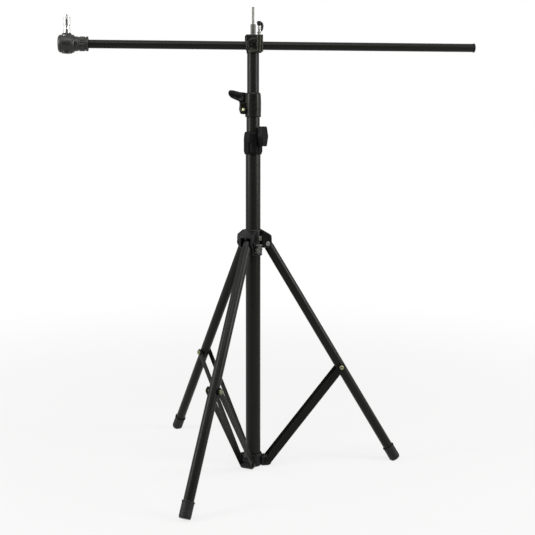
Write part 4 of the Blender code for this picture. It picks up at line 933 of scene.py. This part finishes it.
def wing_handle():
    """The wing lever, ring by ring from its hub to its tip, and the boss that holds the bolt.

    Round a ring's angle a, a point lies (1 - cos a) / 2 of the way from the lower to the upper edge,
    H sqrt(|sin a|) from the lever's middle plane; the front is hollowed and bevelled by straight ramps.
    """
    lower = smooth_line([
        (0, -6.2), (-4.5, -4.3), (-6.2, 0.5), (-5.5, 13), (-6.2, 20), (-15, 25), (-27, 31.2),
        (-31.8, 37.2), (-33, 43.6),
    ], 90)
    upper = smooth_line([
        (0, -6.2), (4.5, -4.3), (6.2, 0.5), (9.2, 13), (11.8, 25.2), (11, 41), (-6, 44.6),
        (-16, 47.2), (-24, 48.6), (-30, 48.2), (-33, 43.6),
    ], 90)
    s = np.linspace(0, 1, 90)[:, None]
    angle = (np.arange(64) * FULL_TURN / 64)[None]
    t = (1 - np.cos(angle)) / 2
    ends = np.sqrt(np.clip(1 - np.clip(1 - np.minimum(s, 1 - s) / 0.06, 0, 1) ** 2, 0, 1))
    depth = 4.5 * ends * np.sqrt(np.abs(np.sin(angle)))
    along = np.clip((s - 0.42) / 0.12, 0, 1) * np.clip((0.94 - s) / 0.12, 0, 1)
    hollow = np.clip((t - 0.12) / 0.12, 0, 1) * np.clip((0.66 - t) / 0.14, 0, 1)
    bevel = 1 - 0.80 * along * np.clip((t - 0.72) / 0.28, 0, 1)
    front = np.sin(angle) > 0
    y = 24.4 + np.where(front, -depth * (1 - 0.75 * along * hollow) * bevel, depth)
    between = lower[:, None] + (upper - lower)[:, None] * t[..., None]
    blade = shell(np.stack([between[..., 0], y, between[..., 1]], -1))
    return [blade, moved(drum(6.2, 8.8, 23.5, 1), ALONG_Y)]


class STAND_OT_head(bpy.types.Operator):
    """Make the fork, the cradle, their screws, the top spigot and the arm lock"""

    bl_idname = "stand.head"
    bl_label = "Tilting head"

    def execute(self, context):
        lift = shift(z=ARM_HEIGHT)
        piece("fork_casting", fork_parts(), "head", "enamelled_casting", "cast_coat", "head_fork",
              at=lift)
        cap = [(0, 18), (7.2, 18), (7.2, 21.1), (6.2, 22.1), (3.6, 22.1), (3.3, 20.5), (0, 20.5)]
        screws = both_sides(turned(eased(cap, 0.6, 4), SMALL_SIDES))
        for name, screw in zip(("front", "back"), screws):
            piece("tilt_cap_" + name, [screw], "head", "black_oxide_steel", "black_paint",
                  "tilt_screw_" + name, at=lift)
        piece("cradle_casting", cradle_parts(), "cradle", "enamelled_casting", "cast_coat",
              "arm_cradle", at=lift)
        top_fittings(context.scene.stand_fittings.stud_pitch / MILLIMETRE, lift)
        return {"FINISHED"}


def fork_parts():
    """The fork: a base block and, on both sides, a lugged cheek, a disc and an upright ribbed pad."""
    parts = [plate(oblong(-9.5, 9.5, -18.8, 18.8, 2, 5), -17.7, -15.6, 0.8)]
    cheek = np.vstack([
        [(-14.2, -17.4), (14.2, -17.4), (14.2, -15.8), (22.5, -15.8), (22.5, -11)],
        arc((0, 0), 17.6, -30, 210, 60), [(-14.2, -11)],
    ])
    pad = [(6, -15), (21, -15), (21, 23.5), (19, 25.2), (6, 25.2)]
    plates = [(eased(cheek, 0.8, 4, True), 14.8, 18.8, 0.5), (eased(pad, 1.2, 4, True), 15, 17.8, 0.8)]
    for centre, half in ((8.8, 1.2), (15.6, 2.1), (21.2, 0.9)):
        rib = oblong(centre - half, centre + half, -15.2, 25.4, 0.8, 4)
        plates.append((rib, 16, 19.7, 0.5))
    for line, low, high, edge in plates:
        for near, far in ((low, high), (-high, -low)):
            parts.append(moved(plate(line, near, far, edge), TOWARD_FRONT))
    disc = [
        (0, 15), (18.4, 15), (18.6, 16), (16, 18.9), (15, 19.3), (13.8, 19), (12.8, 18.2), (0, 18.2),
    ]
    parts += both_sides(turned(eased(disc, 0.8, 5)))
    return [*parts, drum(12.7, -53.7, -17, 0.6)]


def cradle_parts():
    """The cradle: a thick disc on the tilt axis, bored for the arm, under a rounded block."""
    disc = plate(arc((0, 0), 15, 0, 360, 73)[:-1], -14.4, 14.4, 1, centre=(0, 0))
    parts = [moved(disc, TOWARD_FRONT)]
    parts.append(plate(oblong(-18.8, 22.3, -14.4, 14.4, 3.4, 6), 10, 25.8, 2.2))
    for low in (-18.8, 18.5):
        slab = plate(oblong(-14.4, 14.4, -6.9, 25, 2, 5), low, low + 3.8, 1.2)
        parts.append(moved(slab, FACING_X))
    for y in (-14, 12.6):
        filler = plate(oblong(-18, 21.5, -6, 20, 1.5, 4), y, y + 1.4, 0.4)
        parts.append(moved(filler, TOWARD_FRONT))
    return parts


def top_fittings(pitch, lift):
    """The top spigot, the arm lock screw, its jam nut and its hooked handle."""
    spigot = [
        (0, 25.5), (6.3, 26.1), (6.3, 28.5), (5.9, 29), (5.9, 30), (6.3, 30.5), (6.3, 47.2),
        (5.9, 47.7), (5.9, 48.8), (6.3, 49.3), (6.3, 50.6), (5.7, 51.1), (0, 51.1),
    ]
    piece("top_spigot_steel", [turned(eased(spigot, 0.3, 3), 64)], "cradle", "satin_zinc_steel",
          "chrome_steel", "top_spigot", at=lift)
    piece("top_stud_steel", [stud_end(3.2, 50, 93.1, pitch)], "cradle", "bright_zinc_steel",
          "chrome_steel", at=lift)
    lock = lift @ shift(x=14.6)
    piece("arm_lock_stem", [stud_end(3, 10.8, 54, 1.2)], "arm_lock", "chromed_steel",
          "chrome_steel", "arm_lock_screw", at=lock)
    piece("arm_lock_jam_nut", [hex_nut(30, 3.2, 9)], "arm_lock", "satin_zinc_steel", "zinc_steel",
          "arm_lock_nut", at=lock)
    high = 55.6
    route = smooth_line([
        (-5.8, high - 0.4), (-3, high), (2.2, high - 0.1), (5.8, high - 2), (7.5, high - 6.6),
        (7.5, high - 11), (6.6, high - 16.5), (5.5, high - 21.3),
    ], 60)
    t = np.linspace(0, 1, 60)
    radii = 3.2 * np.sqrt(np.clip(1 - (2 * np.abs(t - 0.5)) ** 14, 0, 1)) * (1 - 0.45 * t**5)
    hub = [(0, 48.8), (4.8, 48.8), (4.8, 58.5), (4, 59.3), (0, 59.7)]
    handle = [carried(route, radii, 32, 1.15), turned(eased(hub, 1.2, 5), SMALL_SIDES)]
    piece("hook_handle", handle, "arm_lock", "moulded_nylon", "black_plastic", "arm_lock_handle",
          at=lock)


class STAND_OT_arm(bpy.types.Operator):
    """Make the boom arm, its end cap, neck, turning head and spigot"""

    bl_idname = "stand.arm"
    bl_label = "Boom arm"

    def execute(self, context):
        sizes = context.scene.stand_tubes
        along = shift(z=ARM_HEIGHT) @ ALONG_X
        low, high = box_of("arm_tube")
        tube = tube_shell(sizes.arm_radius, sizes.wall, low.x, high.x, 64)
        piece("boom_tube", [tube], "arm", "powder_coated_aluminium", "tube_coat", "arm_tube", at=along)
        cap = [
            (0, -17.5), (8.7, -17.5), (8.7, -3.5), (11.3, -3.5), (11.3, -1), (10.3, 0), (6.4, 0),
            (5.9, -0.5), (0, -0.5),
        ]
        end = along @ shift(z=box_of("arm_end_cap")[1].x)
        piece("boom_cap", [turned(eased(cap, 0.6, 4), 64)], "arm", "moulded_nylon", "black_plastic",
              "arm_end_cap", at=end)
        neck = neck_shell(context.scene.stand_fittings.neck_ribs)
        piece("boom_neck", [neck], "arm", "glass_filled_nylon", "grey_plastic", "arm_neck", at=along)
        piece("boom_barrel", barrel_parts(along), "arm_head", "glass_filled_nylon", "grey_plastic",
              "arm_head_barrel")
        place = shift(SPIGOT_X, 0, ARM_HEIGHT)
        screw = domed_head(9, 1.7, 2.2)
        screws = [moved(screw, shift(-5, 0, z) @ TOWARD_FRONT) for z in (-19.2, 18.8)]
        for name, parts, finish, nodes in (
            ("barrel_set_screws", screws, "chromed_steel", ()),
            ("boom_spigot", spigot_parts(), "chromed_steel", ("arm_spigot",)),
            ("spigot_lock_nut", [hex_nut(-23.1, 3.8, 18)], "satin_zinc_steel", ("spigot_nut",)),
        ):
            piece(name, parts, "arm_head", finish, "chrome_steel", *nodes, at=place)
        return {"FINISHED"}


def neck_shell(ribs):
    """The neck: a smooth band, a groove, a ribbed ring r(1 - share (1 - cos n a) / 2), an end ring."""
    left, right = box_of("arm_neck")
    end = right.x - left.x
    full = 17.5
    line = [
        (0, 0), (11, 0), (11, 8), (full - 1, 8), (full, 9), (full, 17), (full - 1.4, 18.5),
        (full - 1.4, 20.5), (full, 21.5), *((full, height) for height in range(23, 34, 2)),
        (full - 1.8, 34.2), (full - 1.8, 35.6), (full, 36.4), (full, end - 1), (full - 1.4, end),
        (10.5, end), (10.5, 13), (0, 13),
    ]
    wave = fluted(ribs, 0.06, 20.5, 33.8, 1.5)
    return moved(turned(eased(line, 0.8, 4), 180, wave), shift(z=left.x))


def barrel_parts(along):
    """The turning head: a barrel with a domed end, a concentric ring, and bosses above and below."""
    low, high = box_of("arm_head_barrel")
    left = low.x
    right = high.x
    full = 21.5
    line = [
        (0, left), (9, left), (10.5, left + 0.6), (full * 0.72, left + 0.8),
        (full * 0.90, left + 3.2), (full * 0.975, left + 5.8), (full * 0.975, left + 7.2),
        (full * 0.945, left + 7.8), (full * 0.945, left + 8.6), (full, left + 9.4),
        (full, right - 4.8), (full * 0.97, right - 4.2), (full * 0.97, right - 3.4),
        (full, right - 2.8), (full, right - 0.8), (19.2, right + 2.4), (18, right + 2.4),
        (18, right), (11.5, right), (11.5, right - 8.5), (0, right - 8.5),
    ]
    crown = [
        (0, 10), (12.2, 10), (11.2, 21.5), (11.2, 23.8), (10.4, 24.5), (6.6, 24.5), (6, 24), (0, 24),
    ]
    sole = [
        (0, -19), (10.8, -19), (10.8, -22.6), (12.5, -22.6), (12.5, -20.5), (13.5, -12),
        (13.5, -10), (0, -10),
    ]
    place = shift(SPIGOT_X, 0, ARM_HEIGHT)
    return [
        moved(turned(eased(line, 0.8, 4), 128), along),
        moved(turned(eased(crown, 0.6, 4), 160, fluted(20, 0.10, 20.5, 26, 1)), place),
        moved(turned(eased(sole, 0.6, 4)), place),
    ]


def spigot_parts():
    """The 16 mm spigot: a waisted pin with a catch groove near its top, and a short stud."""
    seat = 24.8
    top = 62.8
    full = 8
    line = [
        (0, seat - 1), (full, seat), (full, seat + 9.6), (6.2, seat + 11.2), (6.2, seat + 17.2),
        (full, seat + 19), (full, top - 4), (full - 0.6, top - 3.6), (full - 0.6, top - 2.6),
        (full, top - 2.2), (full, top - 1), (full - 1, top), (3.2, top), (0, top),
    ]
    shank = turned([(0, -23.1), (4.5, -23.1), (4.5, seat), (0, seat)], SMALL_SIDES)
    return [turned(eased(line, 0.5, 4), 96), shank, stud_end(3.2, top - 0.5, top + 6.5)]


class STAND_OT_carried_over(bpy.types.Operator):
    """Give the CAD pieces that stay in view their real finishes"""

    bl_idname = "stand.carried_over"
    bl_label = "Plugs and inner screws"

    def execute(self, context):
        for name, finish in (
            ("mid_tube_plug", "moulded_nylon"),
            ("upper_tube_plug", "moulded_nylon"),
            ("lower_lock_screw", "nickel_plated_steel"),
            ("spider_lock_screw", "nickel_plated_steel"),
        ):
            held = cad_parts[name]
            held.data.materials.clear()
            held.data.materials.append(finishes()[finish])
        return {"FINISHED"}


class STAND_OT_stage(bpy.types.Operator):
    """Make the floor, the lamps, the world and the camera"""

    bl_idname = "stand.stage"
    bl_label = "Stage"

    def execute(self, context):
        stage = context.scene.stand_stage
        studio_floor(stage)
        studio_world(stage)
        lamp("side_lamp_left", (-2.36, -0.54, 1.6), 0.8, 1.6, stage.side_power)
        lamp("side_lamp_right", (2.24, -0.93, 1.6), 0.8, 1.6, stage.side_power)
        lamp("top_lamp", (0.0, -1.45, 2.8), 2.2, 1.3, stage.top_power)
        photo_camera(stage)
        context.scene.view_settings.view_transform = "Standard"
        return {"FINISHED"}


def seen_rays(tree):
    """Whether a ray comes from the camera, and whether it shows the room in metal or glass."""
    rays = node(tree, "LightPath").outputs
    shiny = node(tree, "Math", {"operation": "MAXIMUM"}, in_0=rays["Is Glossy Ray"],
                 in_1=rays["Is Transmission Ray"])
    return rays["Is Camera Ray"], shiny


def studio_floor(stage):
    """A wide pale disc; to the camera it fades into the white world towards its rim."""
    rings = np.array([0, 500, 1000, 1500, 2200, 3000])
    disc = np.stack([rings, np.full(6, -0.2)], 1)
    floor = added("studio_floor", mesh_of("studio_floor", [turned(disc)]))
    tree, place = new_material("painted_studio_floor")
    away = node(tree, "VectorMath", {"operation": "LENGTH"}, in_0=place).outputs["Value"]
    far = node(
        tree, "MapRange", {"interpolation_type": "SMOOTHSTEP"}, Value=away, From_Min=0.5,
        From_Max=2.4, To_Min=0.80, To_Max=1.0,
    )
    camera, shiny = seen_rays(tree)
    seen = node(tree, "Math", {"operation": "MAXIMUM"}, in_0=camera, in_1=shiny)
    share = node(tree, "Math", {"operation": "MULTIPLY"}, in_0=far, in_1=seen)
    paint = node(tree, "BsdfDiffuse", Color=stage.floor)
    white = node(tree, "Emission", Color=(1, 1, 1, 1), Strength=1.0)
    mixed = node(tree, "MixShader", in_0=share, in_1=paint, in_2=white)
    node(tree, "OutputMaterial", Surface=mixed)
    floor.data.materials.append(bpy.data.materials["painted_studio_floor"])


def studio_world(stage):
    """A world that the camera sees white, that metal sees white at its sides and overhead and dimmer
    in front and behind, by the greater of |x| and z, and that is a plain soft lamp otherwise."""
    world = bpy.data.worlds.new("studio_world")
    bpy.context.scene.world = world
    world.use_nodes = True
    tree = world.node_tree
    tree.nodes.clear()
    direction = node(tree, "TexCoord").outputs["Object"]
    part = node(tree, "SeparateXYZ", Vector=direction).outputs
    sideways = node(tree, "Math", {"operation": "ABSOLUTE"}, in_0=part["X"])
    greater = node(tree, "Math", {"operation": "MAXIMUM"}, in_0=sideways, in_1=part["Z"])
    wall = node(
        tree, "MapRange", {"interpolation_type": "SMOOTHSTEP"}, Value=greater,
        From_Min=0.35, From_Max=0.85, To_Min=stage.dim_wall, To_Max=1.0,
    )
    camera, shiny = seen_rays(tree)
    mix = {"data_type": "FLOAT"}
    mirrored = node(tree, "Mix", mix, in_0=shiny, in_2=stage.ambient, in_3=wall)
    level = node(tree, "Mix", mix, in_0=camera, in_2=mirrored, in_3=1.0)
    glow = node(tree, "Background", Color=(1, 1, 1, 1), Strength=level)
    node(tree, "OutputWorld", Surface=glow)


def lamp(name, place, width, height, power):
    """A rectangular soft lamp that faces the middle of the stand."""
    light = bpy.data.lights.new(name, "AREA")
    light.shape = "RECTANGLE"
    light.size = width
    light.size_y = height
    light.energy = power
    made = added(name, light)
    made.location = place
    made.rotation_euler = (LAMP_TARGET - Vector(place)).to_track_quat("-Z", "Y").to_euler()


def photo_camera(stage):
    """The camera at the photograph's viewing angle."""
    data = bpy.data.cameras.new("photo_camera")
    data.sensor_width = 36
    data.lens = stage.lens
    data.shift_x, data.shift_y = CAMERA_SHIFT
    data.clip_end = 60
    made = added("photo_camera", data)
    away = Vector((math.sin(stage.yaw), math.cos(stage.yaw), 0))
    made.location = -stage.distance * away + Vector((0, 0, stage.height))
    look = away * math.cos(stage.pitch) - Vector((0, 0, math.sin(stage.pitch)))
    made.rotation_euler = look.to_track_quat("-Z", "Y").to_euler()
    bpy.context.scene.camera = made


GROUPS = {"stand_tubes": StandTubes, "stand_fittings": StandFittings, "stand_stage": StandStage}
OPERATORS = (
    STAND_OT_column, STAND_OT_legs, STAND_OT_braces, STAND_OT_hub, STAND_OT_spider,
    STAND_OT_lower_lock, STAND_OT_upper_lock, STAND_OT_head, STAND_OT_arm, STAND_OT_carried_over,
    STAND_OT_stage,
)


class STAND_PT_panel(bpy.types.Panel):
    """The stand's sizes, colours and pieces"""

    bl_idname = "STAND_PT_panel"
    bl_label = "Light Stand"
    bl_space_type = "VIEW_3D"
    bl_region_type = "UI"
    bl_category = "Light Stand"

    def draw(self, context):
        for place in GROUPS:
            group = getattr(context.scene, place)
            box = self.layout.box()
            for name in group.__annotations__:
                box.prop(group, name)
        for operator in OPERATORS:
            self.layout.operator(operator.bl_idname)


def register():
    """Register every class and hang the settings on the scene."""
    for kind in (*GROUPS.values(), *OPERATORS, STAND_PT_panel):
        bpy.utils.register_class(kind)
    for place, group in GROUPS.items():
        setattr(bpy.types.Scene, place, bpy.props.PointerProperty(type=group))


def unregister():
    """Take the settings and classes away again."""
    for place in GROUPS:
        delattr(bpy.types.Scene, place)
    for kind in reversed((*GROUPS.values(), *OPERATORS, STAND_PT_panel)):
        bpy.utils.unregister_class(kind)


def main():
    """Register the add-on and make every piece in order."""
    register()
    for operator in OPERATORS:
        getattr(bpy.ops.stand, operator.bl_idname.removeprefix("stand."))()


if __name__ == "__main__":
    main()
